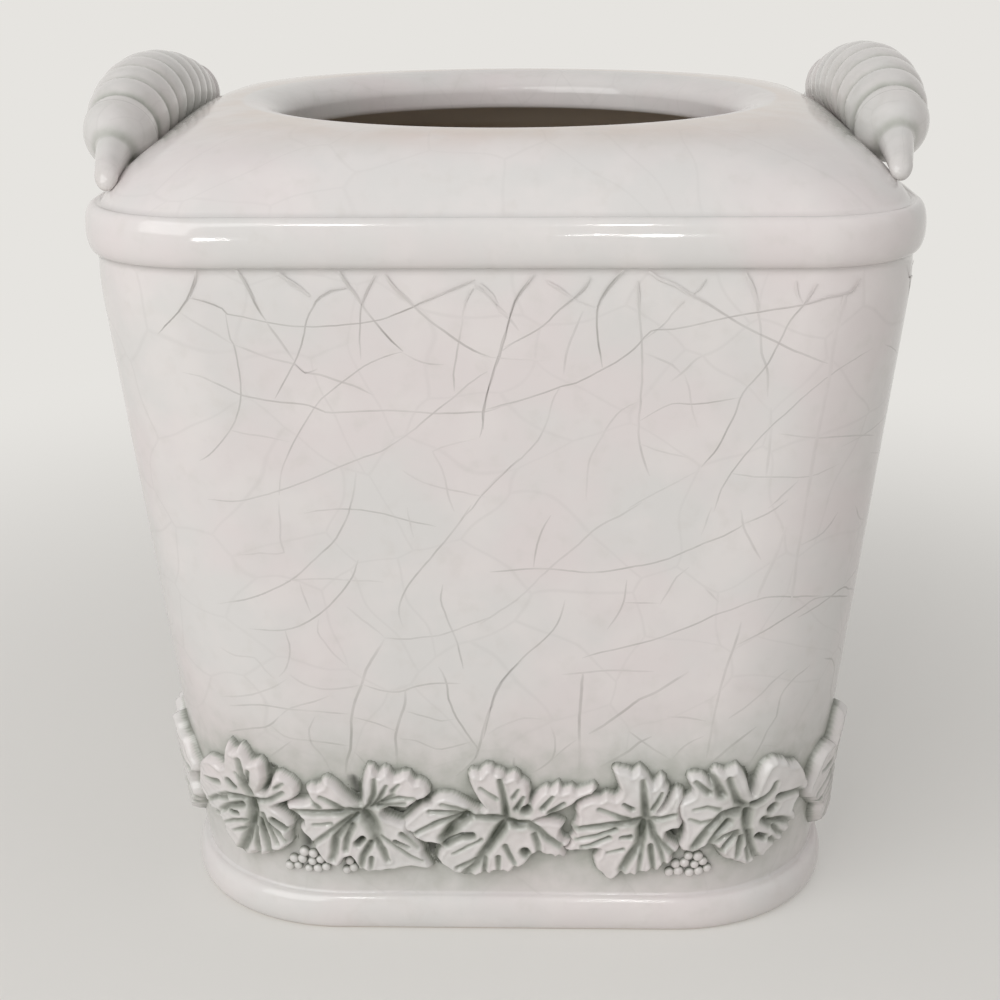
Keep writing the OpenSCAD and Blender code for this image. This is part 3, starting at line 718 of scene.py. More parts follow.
def leaf_places():
    """Places of the leaves round the wall, in mm from the middle of the front."""
    count, front = len(LEAF_KINDS), len(FRONT_PLACES)
    pitch = SIDES * side_length(sizes().leaf_z) / MM / count
    rest = np.linspace(FRONT_PLACES[-1], FRONT_PLACES[0] + count, count - front + 2)[1:-1]
    return [pitch * p for p in list(FRONT_PLACES) + list(rest)]


def to_line(x, y, line):
    """Distance to a run of straight pieces, and how far along it the nearest place is."""
    best, along = np.full(x.shape, 1e9), np.zeros(x.shape)
    total = np.hypot(*(line[1:] - line[:-1]).T).sum()
    done = 0.0
    for (ax, ay), (bx, by) in zip(line[:-1], line[1:]):
        run = math.hypot(bx - ax, by - ay)
        t = np.clip(((x - ax) * (bx - ax) + (y - ay) * (by - ay)) / run ** 2, 0, 1)
        d = np.hypot(x - ax - t * (bx - ax), y - ay - t * (by - ay))
        near = d < best
        best = np.where(near, d, best)
        along = np.where(near, (done + t * run) / total, along)
        done += run
    return best, along


def inside_edge(x, y, edge):
    """Distance inside a closed outline, negative outside."""
    closed = np.vstack([edge, edge[:1]])
    d, _ = to_line(x, y, closed)
    odd = np.zeros(x.shape, dtype=bool)
    for (ax, ay), (bx, by) in zip(closed[:-1], closed[1:]):
        if ay != by:
            odd ^= ((ay > y) != (by > y)) & (x < ax + (y - ay) / (by - ay) * (bx - ax))
    return np.where(odd, d, -d)


def leaf_relief(x, y, pattern, seed):
    """Height over the wall in mm, and how much glaze pools and shade is painted there."""
    e = inside_edge(x, y, on_leaf(pattern, pattern["edge"]))
    heart = np.hypot(x + pattern["middle"] - pattern["heart"][0], y - pattern["heart"][1])
    # A leaf is dished at its heart and thins towards its tips
    full = LEAF_HIGH + 0.5 * smooth(0, 6, heart) - 0.75 * smooth(11, 20, heart)
    sway = np.random.default_rng(seed).uniform(0, 6.3, 6)
    full += 0.10 * np.sin(x * 0.9 + sway[0]) * np.sin(y * 0.8 + sway[1]) \
        + 0.05 * np.sin(x * 2.1 + sway[2] + 0.8 * y) * np.sin(y * 1.9 + sway[3])
    t = np.clip((e + 0.4) / 1.35, 0, 1)
    height = -0.15 + (full + 0.15) * (1 - (1 - t) ** 2) ** 0.75
    height += EDGE_BEAD * np.exp(-((e - 0.75) / 0.45) ** 2)
    pool_and_shade = np.zeros(x.shape)
    carved = np.zeros(x.shape)
    lips = np.zeros(x.shape)
    for row in pattern["cuts"].strip().splitlines():
        head, line = row.split(":")
        wide, deep = map(float, head.split())
        d, along = to_line(x, y, on_leaf(pattern, line))
        # A pit is as deep and as wide all along, and a vein runs out towards its tip
        fade = 0 if deep > PIT_DEPTH else along
        open_end = 1 - 0.35 * fade
        w = CUT_SHARE * wide * (1 - 0.25 * fade)
        carved = np.maximum(carved, CUT_DEPTH * deep * open_end * np.exp(-(d / w) ** 1.9))
        lips = np.maximum(lips, LIP_HIGH * min(deep, 1) * np.exp(-((d - 1.6 * w) / (0.6 * w)) ** 2))
        # Pooled glaze and painted shade along each cut
        pool_and_shade = np.maximum(pool_and_shade, min(0.44 + 0.36 * deep, 0.95) * open_end * np.exp(-(d / (1.05 * w)) ** 2))
    height += (lips - carved) * smooth(-0.1, 0.7, e) * (1 - smooth(0, 0.1, -e))
    height = np.where(e > 0.6, np.maximum(height, 0.12), height)
    # Painted shade where the leaf's side meets the wall, and round its dished heart
    foot = np.exp(-(np.clip(height, 0, None) / 0.9) ** 2)
    return e, height, np.clip(np.maximum(pool_and_shade, 0.72 * foot) + 0.10 * (1 - smooth(2, 9, heart)) + 0.07, 0, 1)


def leaf_bounds(pattern):
    edge = on_leaf(pattern, pattern["edge"])
    return edge.min(0) - LEAF_MARGIN, edge.max(0) + LEAF_MARGIN


class COVER_OT_leaves(bpy.types.Operator):
    """Build the band of relief vine leaves"""
    bl_idname = "cover.leaves"
    bl_label = "Leaves"

    def execute(self, context):
        skin = glaze("Crackle glaze on sprigged leaves")
        for number, (kind, middle) in enumerate(zip(LEAF_KINDS, leaf_places()), 1):
            pattern = LEAF_PATTERNS[kind]
            low, high = leaf_bounds(pattern)

            def place(u, v):
                x, y = mix(low[0], high[0], u), mix(low[1], high[1], v)
                e, height, pool_and_shade = leaf_relief(x, y, pattern, number)
                s, z = (x + middle) * MM, y * MM
                return wall_point(s, z, height * MM), np.stack([s, z], -1), {"pool_and_shade": pool_and_shade, "reach": e}
            across, along = np.ceil((high - low) / LEAF_STEP).astype(int)
            obj = sheet("vine_leaf_%02d" % number, int(across), int(along), place)
            trim(obj)
            finish_piece(obj, "leaf_%02d" % number, skin)
        return {"FINISHED"}


# A leaf's sheet is cut off this many mm outside its edge, and its back lies this deep, in metres
TRIM_REACH = 1.1
LEAF_BACK = 0.0006


def keep_faces(obj, wanted):
    """Delete the faces for whose corners wanted isn't true."""
    mesh = obj.data
    deselect()
    obj.select_set(True)
    bpy.context.view_layer.objects.active = obj
    bpy.ops.object.mode_set(mode="EDIT")
    bpy.ops.mesh.select_mode(type="FACE")
    bpy.ops.mesh.select_all(action="DESELECT")
    bpy.ops.object.mode_set(mode="OBJECT")
    for polygon in mesh.polygons:
        polygon.select = not wanted(list(polygon.vertices))
    bpy.ops.object.mode_set(mode="EDIT")
    bpy.ops.mesh.delete(type="FACE")
    bpy.ops.mesh.select_mode(type="VERT")
    bpy.ops.object.mode_set(mode="OBJECT")


def trim(obj):
    """Cut a leaf's sheet off just outside its edge, and give it a back inside the wall."""
    mesh = obj.data
    reach = np.empty(len(mesh.vertices), dtype=np.float32)
    mesh.attributes["reach"].data.foreach_get("value", reach)
    keep_faces(obj, lambda corners: reach[corners].min() >= -TRIM_REACH)
    mesh.attributes.remove(mesh.attributes["reach"])
    back = obj.modifiers.new("back", "SOLIDIFY")
    back.thickness = LEAF_BACK
    back.offset = -1
    bpy.ops.object.modifier_apply(modifier=back.name)


# Grapes: places of the berries in mm, from the middle of their gap and up from the table

BERRIES = points("-5.2,14.3 -3.1,14.6 -0.9,14.2 1.2,14.5 3,14.9 -4,16.3 -2.1,16.6 0.1,16.2 1.9,16.7 "
                 "-1.4,18.4 0.6,18.2")
SIDE_BERRIES = points("7.3,14.3 9,14.8 8.2,16.4")
# In mm: about how far from a corner a bunch hangs, and a berry's middle over the wall
BUNCH_FROM_CORNER = 22
BERRY_LIFT = 0.45


def bunch_places():
    """Middle of the gap between two leaves that each bunch hangs in, in mm."""
    turn = SIDES * side_length(sizes().leaf_z) / MM
    places = np.array(leaf_places())
    gaps = (places + np.append(places[1:], places[0] + turn)) / 2
    for side, name in enumerate(("front", "right", "back", "left")):
        for hand, sign in (("left", -1), ("right", 1)):
            wanted = turn / SIDES * (side + sign * 0.5) - sign * BUNCH_FROM_CORNER
            yield name + "_" + hand, gaps[np.argmin(np.abs(gaps - wanted))]


class COVER_OT_grapes(bpy.types.Operator):
    """Build the small bunches of grapes"""
    bl_idname = "cover.grapes"
    bl_label = "Grapes"

    def execute(self, context):
        skin = glaze("Crackle glaze on sprigged grapes")
        r = sizes().berry_r / MM
        chance = np.random.default_rng(7)
        for name, middle in bunch_places():
            berries = []
            layout = np.vstack([BERRIES, SIDE_BERRIES]) if name == "front_left" else BERRIES
            for x, y in layout:
                deselect()
                bpy.ops.mesh.primitive_ico_sphere_add(subdivisions=3, radius=1)
                berry = bpy.context.object
                mesh = berry.data
                round_points = np.array([v.co[:] for v in mesh.vertices])
                wide = r * chance.uniform(0.92, 1.12)
                dx, dy = chance.uniform(-0.12, 0.12, 2)
                s = (x + dx + middle + round_points[:, 0] * wide) * MM
                z = (y + dy + round_points[:, 1] * wide) * MM
                lift = (BERRY_LIFT + round_points[:, 2] * wide) * MM
                mesh.vertices.foreach_set("co", wall_point(s, z, lift).ravel())
                corner = np.empty(len(mesh.loops), dtype=int)
                mesh.loops.foreach_get("vertex_index", corner)
                layer = mesh.uv_layers[0]
                layer.name = "unrolled"
                layer.uv.foreach_set("vector", np.stack([s, z], -1)[corner].astype(np.float32).ravel())
                # Painted shade where each berry sinks towards the wall, with pooled glaze
                layer = mesh.attributes.new("pool_and_shade", "FLOAT", "POINT")
                pool_and_shade = 0.12 + 0.75 * smooth(1.25, 0.3, lift / MM)
                layer.data.foreach_set("value", pool_and_shade.astype(np.float32))
                berries.append(berry)
            deselect()
            for berry in berries:
                berry.select_set(True)
            bpy.context.view_layer.objects.active = berries[0]
            bpy.ops.object.join()
            obj = bpy.context.object
            obj.name = obj.data.name = "grape_bunch_" + name
            bpy.ops.object.mode_set(mode="EDIT")
            bpy.ops.mesh.select_all(action="SELECT")
            bpy.ops.mesh.normals_make_consistent(inside=False)
            bpy.ops.object.mode_set(mode="OBJECT")
            bpy.ops.object.shade_smooth()
            finish_piece(obj, "grapes_" + name, skin)
        return {"FINISHED"}


# Crackle: the long lines on the front, read off four enlarged crops of the photograph.
# Each crop has its corner and its width in the photograph's pixels. Each line starts with how
# dark it is and how wide in mm, and has its places in the crop, in pixels of the enlarged crop.

ENLARGED = 1568
CRACK_CROPS = [
    # upper left
    ((90, 210), 430, """
        1.2 0.3: 385,222 372,270 350,325 322,372 290,410 245,450;
        0.8 0.3: 360,318 420,335 480,360 500,380 560,392 640,408 720,420 800,426 900,422 985,414
            1060,400 1130,375 1180,352 1250,320 1330,285 1400,252;
        1.4 0.4: 535,218 560,255 590,310 615,360 640,402;
        0.5 0.5: 640,402 680,460 715,510 745,555;
        0.8 0.3: 497,378 503,420 512,470 525,490 540,550 550,610 550,675 543,730 520,790 480,840 430,895
            400,915;
        0.6 0.7: 680,230 720,258 765,285 800,315;
        0.8 0.3: 935,285 880,295 840,318 812,355 790,405 780,450 765,510 745,560 715,620 675,688;
        1.2 0.4: 900,225 940,280 985,340 1010,375 1050,420 1100,478 1140,515;
        0.7 0.3: 1035,235 1010,290 990,345 985,400 985,480 990,545;
        0.6 0.5: 1070,235 1110,285 1170,340 1240,405 1290,440 1340,475 1400,510 1460,535;
        0.5 0.5: 520,488 580,510 640,535 700,550 750,565 780,590 840,600 900,620 960,640 1030,675;
        0.35 0.5: 330,375 400,420 460,450 520,488;
        0.6 0.4: 745,560 785,595 830,580;
        0.6 0.3: 1140,520 1080,535 1000,570 940,612 880,660 830,705 790,765 745,840 715,910 695,970
            690,1040;
        0.55 0.4: 335,590 400,605 470,635 550,675 620,690 700,700 800,712 860,735 940,735 1080,730
            1200,738 1300,742 1440,735 1500,715 1568,695;
        0.55 0.35: 430,1055 520,1060 600,1045 700,1020 800,985 900,940 1000,900 1060,880 1150,825
            1240,750 1320,690 1400,620 1450,590;
        0.6 0.35: 1395,285 1370,330 1355,400 1345,470 1335,540 1325,600 1330,660;
        0.4 0.4: 1400,275 1440,300 1480,345 1530,390;
        0.8 0.3: 1565,290 1540,350 1525,410 1500,480 1490,520 1470,590 1455,650 1440,720 1430,790
            1420,830;
        0.5 0.3: 1560,475 1510,505 1490,520;
        0.25 0.4: 1420,832 1350,845 1280,865 1250,880 1270,920 1290,960 1300,1010 1315,1060 1330,1100;
        0.5 0.3: 1568,905 1520,950 1470,1000 1430,1040 1390,1090 1350,1130;
        0.4 0.4: 1140,950 1200,985 1290,1015 1360,1030 1440,1045;
        0.3 0.4: 970,940 965,1000 955,1060 940,1110;
        0.25 0.4: 500,798 560,815 640,830 730,845;
        0.4 0.4: 1140,520 1190,545 1240,560 1290,565"""),
    # upper right
    ((480, 210), 430, """
        1 0.35: 195,235 160,280 130,330 112,390 95,450 70,531 45,600 25,670 10,740 15,800;
        0.7 0.35: 400,245 375,290 345,320 290,365 230,420 165,462 90,500;
        1.2 0.35: 525,220 490,255 450,305 428,350 422,400 432,470 445,540 450,575;
        0.5 0.3: 345,325 385,345 428,358;
        0.4 0.5: 375,370 350,430 320,510 305,600;
        0.8 0.35: 15,728 80,710 160,690 240,665 300,640 350,628 420,595 470,570 520,540 580,490 625,440
            700,435 780,420 850,400 930,385 1020,372 1100,358 1180,345 1270,318 1355,298 1385,250;
        0.6 0.35: 745,330 700,380 665,425 590,480;
        0.6 0.5: 615,225 650,250 710,272 760,305 820,335 880,372 940,410 1000,445 1080,480 1150,515
            1270,560;
        0.7 0.3: 820,250 800,285 775,305;
        0.4 0.45: 575,260 582,350 590,480 592,600 585,700 578,770 582,850 600,920 620,970;
        0.4 0.5: 970,230 1000,300 1015,370 1025,440 1030,520 1045,580 1050,680;
        0.7 0.35: 1225,270 1180,345 1130,400 1090,480 1050,560 1010,610 960,670 935,740 905,800 870,870
            810,940;
        0.6 0.3: 1430,505 1350,555 1280,600 1210,655 1130,730 1050,805 980,880 920,955 880,1020 850,1100;
        0.7 0.3: 580,770 640,735 700,708 780,710 860,698 945,682;
        0.4 0.5: 840,520 790,545 735,595 690,625;
        0.3 0.4: 745,600 765,660 775,720 795,790;
        0.3 0.4: 580,700 520,730 465,790 430,850 400,910 390,990 385,1060;
        0.45 0.35: 0,1040 60,980 150,905 210,840 245,770 270,680 300,640;
        0.3 0.4: 585,855 640,875 700,890 780,905;
        0.4 0.35: 915,958 1000,970 1100,975 1200,972 1260,950 1310,925;
        0.3 0.4: 1090,815 1160,825 1230,830 1330,825 1440,820;
        0.15 0.9: 1335,310 1310,400 1290,490 1275,600 1255,700 1235,800 1215,900 1200,980 1190,1060;
        0.2 0.6: 1060,720 1060,800 1055,900 1045,970;
        0.4 0.35: 800,950 740,980 670,1015 600,1055 540,1090;
        0.4 0.6: 0,270 40,310 75,370 110,400 140,440;
        0.3 0.5: 600,520 650,540 700,565 735,595;
        0.3 0.4: 0,530 90,540 160,545 230,548;
        0.3 0.5: 240,260 290,290 345,325;
        0.4 0.4: 1150,260 1160,310 1180,345;
        0.4 0.4: 1160,985 1100,1040 1050,1090"""),
    # lower left
    ((130, 500), 390, """
        0.5 0.35: 700,55 780,42 870,38 960,48 1050,65 1130,85 1230,105;
        0.7 0.4: 890,0 880,50 855,105 810,175 750,235 690,290 620,335 540,375 460,400 400,412 350,418;
        0.3 0.4: 600,0 605,100 608,170 618,212 560,215 520,212 430,222;
        0.35 0.4: 625,325 700,320 800,318 880,322 960,325 1020,328;
        0.6 0.4: 915,240 890,310 850,370 800,425 740,475 680,508 620,522 540,522 480,518;
        0.4 0.4: 680,335 695,380 715,430 725,455;
        0.3 0.4: 755,480 755,530 780,570 820,620 870,665;
        0.5 0.4: 625,525 640,580 640,630 620,690 600,710;
        0.6 0.4: 1370,20 1330,80 1280,150 1210,235 1150,300 1110,355 1085,410 1080,460 1100,510;
        0.4 0.4: 1115,30 1125,90 1140,150;
        0.5 0.4: 1260,340 1250,400 1265,450 1290,510 1310,560 1325,620 1340,680;
        0.5 0.4: 1020,555 1100,560 1180,552 1240,545 1300,525 1370,500 1450,470;
        0.68 0.7: 1020,560 985,620 950,680 930,740 905,800 890,870 890,930 885,1000 870,1060 870,1110;
        0.68 0.7: 1105,760 1105,820 1085,880 1070,940 1075,1020 1075,1075;
        0.5 0.45: 940,745 1000,765 1080,770 1150,748 1240,735 1330,740;
        0.6 0.5: 1240,670 1270,720 1280,800 1310,870 1350,930 1380,975 1400,1010 1370,1060 1310,1110;
        0.68 0.7: 1568,650 1510,710 1470,770 1445,850 1420,930 1400,1000 1385,1040;
        0.5 0.45: 1110,850 1180,870 1250,888 1310,880;
        0.5 0.45: 895,870 960,890 1040,920 1070,930;
        0.5 0.45: 1085,960 1150,970 1230,1000 1300,990 1380,970;
        0.3 0.45: 370,790 470,785 570,755 630,720;
        0.5 0.45: 400,825 520,822 640,838 760,850 880,860;
        0.4 0.45: 600,870 650,835 740,810 800,790;
        0.5 0.5: 400,930 471,920 560,908 600,870;
        0.5 0.5: 570,910 620,950 700,965 790,975 880,985;
        0.5 0.5: 740,870 720,920 730,980 770,1030 800,1080 820,1110;
        0.5 0.5: 650,970 610,1000 560,1035 530,1060;
        0.5 0.5: 900,1010 940,1050 970,1080;
        0.3 0.5: 360,590 420,625 500,635 540,680 580,720;
        0.3 0.5: 870,430 930,480 1000,530 1020,550;
        0.3 0.5: 640,700 700,740 780,760 860,755 940,740;
        0.68 0.8: 1545,1035 1545,1095"""),
    # lower right
    ((480, 500), 390, """
        0.6 0.4: 285,60 260,95 240,150 225,210 218,270;
        0.7 0.4: 40,290 130,283 220,278 330,282 430,290 520,285 600,270 680,255 760,235 830,205 900,175
            980,145 1040,110 1060,95;
        0.6 0.4: 1240,0 1160,50 1060,95;
        0.5 0.4: 930,30 905,100 890,140;
        0.35 0.45: 650,10 560,65 470,110 380,190 320,240 240,310 180,370 120,420 0,500;
        0.6 0.4: 340,400 310,500 260,560 190,620 120,690 80,740 50,800 30,880 10,960;
        0.5 0.4: 590,320 575,410 550,460 510,520;
        0.35 0.4: 575,412 640,413 720,415;
        0.5 0.4: 840,270 790,310 760,360 725,420;
        0.6 0.4: 410,635 470,615 540,600 620,585 690,565 760,540 860,500 940,460 1010,440 1090,410
            1170,390 1250,390 1370,385;
        0.6 0.45: 1480,385 1370,390 1290,440 1220,480 1140,530 1080,560 1020,590;
        0.4 0.6: 1050,490 1020,590 985,680 965,760 940,870 925,960 910,1040;
        0.4 0.5: 1050,40 1060,110 1090,180 1130,240;
        0.15 0.8: 1310,0 1290,130 1270,260 1260,350 1250,430;
        0.15 0.8: 1230,110 1190,220 1140,330 1110,400;
        0.4 0.5: 1440,50 1380,130 1290,180;
        0.68 0.75: 415,690 410,780 400,870 398,950 400,1040 400,1100;
        0.35 0.5: 330,700 420,695 540,685 700,690;
        0.68 0.7: 840,690 770,735 700,775 640,800 590,840 540,875 480,915 435,940;
        0.5 0.5: 280,900 300,960 300,1010 290,1040 250,1075 200,1100;
        0.5 0.5: 390,965 340,1000 295,1040;
        0.3 0.5: 30,940 100,905 180,875 250,880;
        0.68 0.8: 135,1040 135,1090;
        0.68 0.7: 690,950 640,975 600,1010 540,1045 480,1075;
        0.5 0.5: 600,930 650,970 700,1005 770,1045;
        0.6 0.5: 900,950 860,965 820,990 790,1020 770,1045;
        0.5 0.5: 1240,680 1180,730 1130,780 1060,840 1000,880;
        0.68 0.7: 1110,910 1060,950 1010,990 950,1040 900,1075;
        0.5 0.5: 1330,660 1260,720 1210,790 1190,870 1160,920 1120,1000 1080,1060;
        0.35 0.5: 750,870 830,875 910,890;
        0.35 0.5: 1130,985 1200,990;
        0.3 0.5: 900,350 960,410"""),
]
# Ribbons, in mm: how far one stands over the wall, the way between its places, how much it sways
# and how much wider it is than its line
CRACK_LIFT, CRACK_STEP, CRACK_SWAY, CRACK_SPREAD = 0.016, 1.1, 0.16, 0.05
# Their stain, how uneven it is, and the darkest that a line counts as
CRACK_STAIN, CRACK_UNEVEN, DARKEST_CRACK = 0.42, 0.55, 1.05
# Places across a ribbon, as shares of its half width
CRACK_ACROSS = np.array((-1, -0.35, 0.35, 1))
# The search for a place on the wall, in mm: where it starts, its longest step, and the nudge
# that shows it the way
SEEK_START = (0.0, 80.0)
SEEK_TIMES, SEEK_REACH, SEEK_NUDGE = 60, 4.0, 0.01


def in_photo(s, z):
    """Where the camera sees places on the wall, in the photograph's pixels; s and z are in mm."""
    way = wall_point(s * MM, z * MM, 0.0) - CAMERA_AT
    right, up = np.array(CAMERA_RIGHT), np.array(CAMERA_UP)
    depth = way @ np.cross(up, right)
    focal = CAMERA_LENS / SENSOR_WIDE * PHOTO_WIDE
    return np.stack([PHOTO_WIDE / 2 + focal * (way @ right) / depth,
                     PHOTO_WIDE * (0.5 + CAMERA_SHIFT) - focal * (way @ up) / depth], -1)


def on_wall(spots):
    """Places on the wall, as s and z in mm, that the camera sees at spots in the photograph."""
    places = np.tile(SEEK_START, (len(spots), 1))
    for _ in range(SEEK_TIMES):
        here = in_photo(*places.T)
        nudged = [in_photo(*(places + nudge).T) for nudge in ((SEEK_NUDGE, 0), (0, SEEK_NUDGE))]
        slopes = (np.stack(nudged, -1) - here[..., None]) / SEEK_NUDGE
        step = np.linalg.solve(slopes, (spots - here)[..., None])[..., 0]
        places += np.clip(step, -SEEK_REACH, SEEK_REACH)
    return np.round(places, 1)


def crack_lines():
    """How dark and how wide each line is, and its places on the front wall in mm."""
    heads, spots = [], []
    for corner, wide, text in CRACK_CROPS:
        for row in text.split(";"):
            head, line = row.split(":")
            heads.append([float(number) for number in head.split()])
            spots.append(points(line) * wide / ENLARGED + corner)
    ends = np.cumsum([len(line) for line in spots])[:-1]
    return [(dark, wide, line) for (dark, wide), line in
            zip(heads, np.split(on_wall(np.vstack(spots)), ends))]


def five_mean(values):
    """Mean of each value and its neighbours, over five places."""
    return np.convolve(values, [0.2] * 5, "valid")


def curve_through(line, step):
    """Places about step apart on a smooth curve through the given ones."""
    ends = np.vstack([2 * line[0] - line[1], line, 2 * line[-1] - line[-2]])
    out = []
    for a, b, c, d in zip(ends, ends[1:], ends[2:], ends[3:]):
        count = max(int(np.hypot(*(c - b)) / step), 1)
        t = np.arange(count)[:, None] / count
        out.append(0.5 * (2 * b + (c - a) * t + (2 * a - 5 * b + 4 * c - d) * t ** 2
                          + (3 * b - a - 3 * c + d) * t ** 3))
    return np.vstack(out + [line[-1:]])


class COVER_OT_crackle(bpy.types.Operator):
    """Lay the stained crackle lines on the four sides, flush with the glaze"""
    bl_idname = "cover.crackle"
    bl_label = "Crackle lines"

    def execute(self, context):
        band = side_length(sizes().leaf_z) / MM
        shade = band_shade()
        chance = np.random.default_rng(3)
        lines = crack_lines()
        rows = []
        for side in range(SIDES):
            for number, (dark, wide, line) in enumerate(lines):
                # The net is the same on each side, and mirrored on the two side walls
                line = curve_through(line * ((-1) ** side, 1), CRACK_STEP)
                count = len(line)
                run = np.gradient(line, axis=0)
                run /= np.hypot(*run.T)[:, None]
                wave = five_mean(chance.normal(0, CRACK_SWAY, count + 4))
                way = np.arange(count)
                thin = smooth(-1.5, 2.5, np.minimum(way, count - 1 - way))
                uneven = 1 + five_mean(chance.normal(0, CRACK_UNEVEN, count + 4))
                half = (wide / 2 + CRACK_SPREAD) * (0.35 + 0.65 * thin)
                stain = CRACK_STAIN * min(dark, DARKEST_CRACK) * thin * uneven
                rows.append(np.column_stack([line[:, 0] + side * band, line[:, 1], run, wave, half, stain,
                                             np.full(count, side * len(lines) + number)]))
        rows = np.vstack(rows)

        def place(u, v):
            i = np.rint(v * (len(rows) - 1)).astype(int)
            j = np.rint(u * (len(CRACK_ACROSS) - 1)).astype(int)
            s, z, run_s, run_z, wave, half, stain, number = rows[i].T
            off = CRACK_ACROSS[j] * half + wave
            s, z = s + off * run_z, z - off * run_s
            # A ribbon's two edges lie in the wall, so that it has no step
            inner = np.abs(CRACK_ACROSS[j]) < 1
            lift = np.where(inner, 1, -0.4) * CRACK_LIFT
            # Each ribbon takes the pooled glaze and painted shade of the wall under it
            pool_and_shade, _ = shade(s, z)
            return (wall_point(s * MM, z * MM, lift * MM), np.stack([s, z], -1) * MM,
                    {"stain": stain * inner, "pool_and_shade": np.where(z < SHADE_TOP, pool_and_shade, 0), "number": number})
        obj = sheet("crackle_lines", len(CRACK_ACROSS) - 1, len(rows) - 1, place, closed=False)
        mesh = obj.data
        number = np.empty(len(mesh.vertices), dtype=np.float32)
        mesh.attributes["number"].data.foreach_get("value", number)
        keep_faces(obj, lambda corners: len(set(number[corners])) == 1)
        mesh.attributes.remove(mesh.attributes["number"])
        obj.data.materials.clear()
        obj.data.materials.append(glaze("Crackle glaze on cast ceramic"))
        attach(obj, "root")
        return {"FINISHED"}


# Materials

def add(tree, kind, inputs=None, **settings):
    """Add a node with its settings, and with values or links on its inputs."""
    node = tree.nodes.new(kind)
    for name, value in settings.items():
        setattr(node, name, value)
    for name, value in (inputs or {}).items():
        if isinstance(value, bpy.types.NodeSocket):
            tree.links.new(value, node.inputs[name])
        else:
            node.inputs[name].default_value = value
    return node


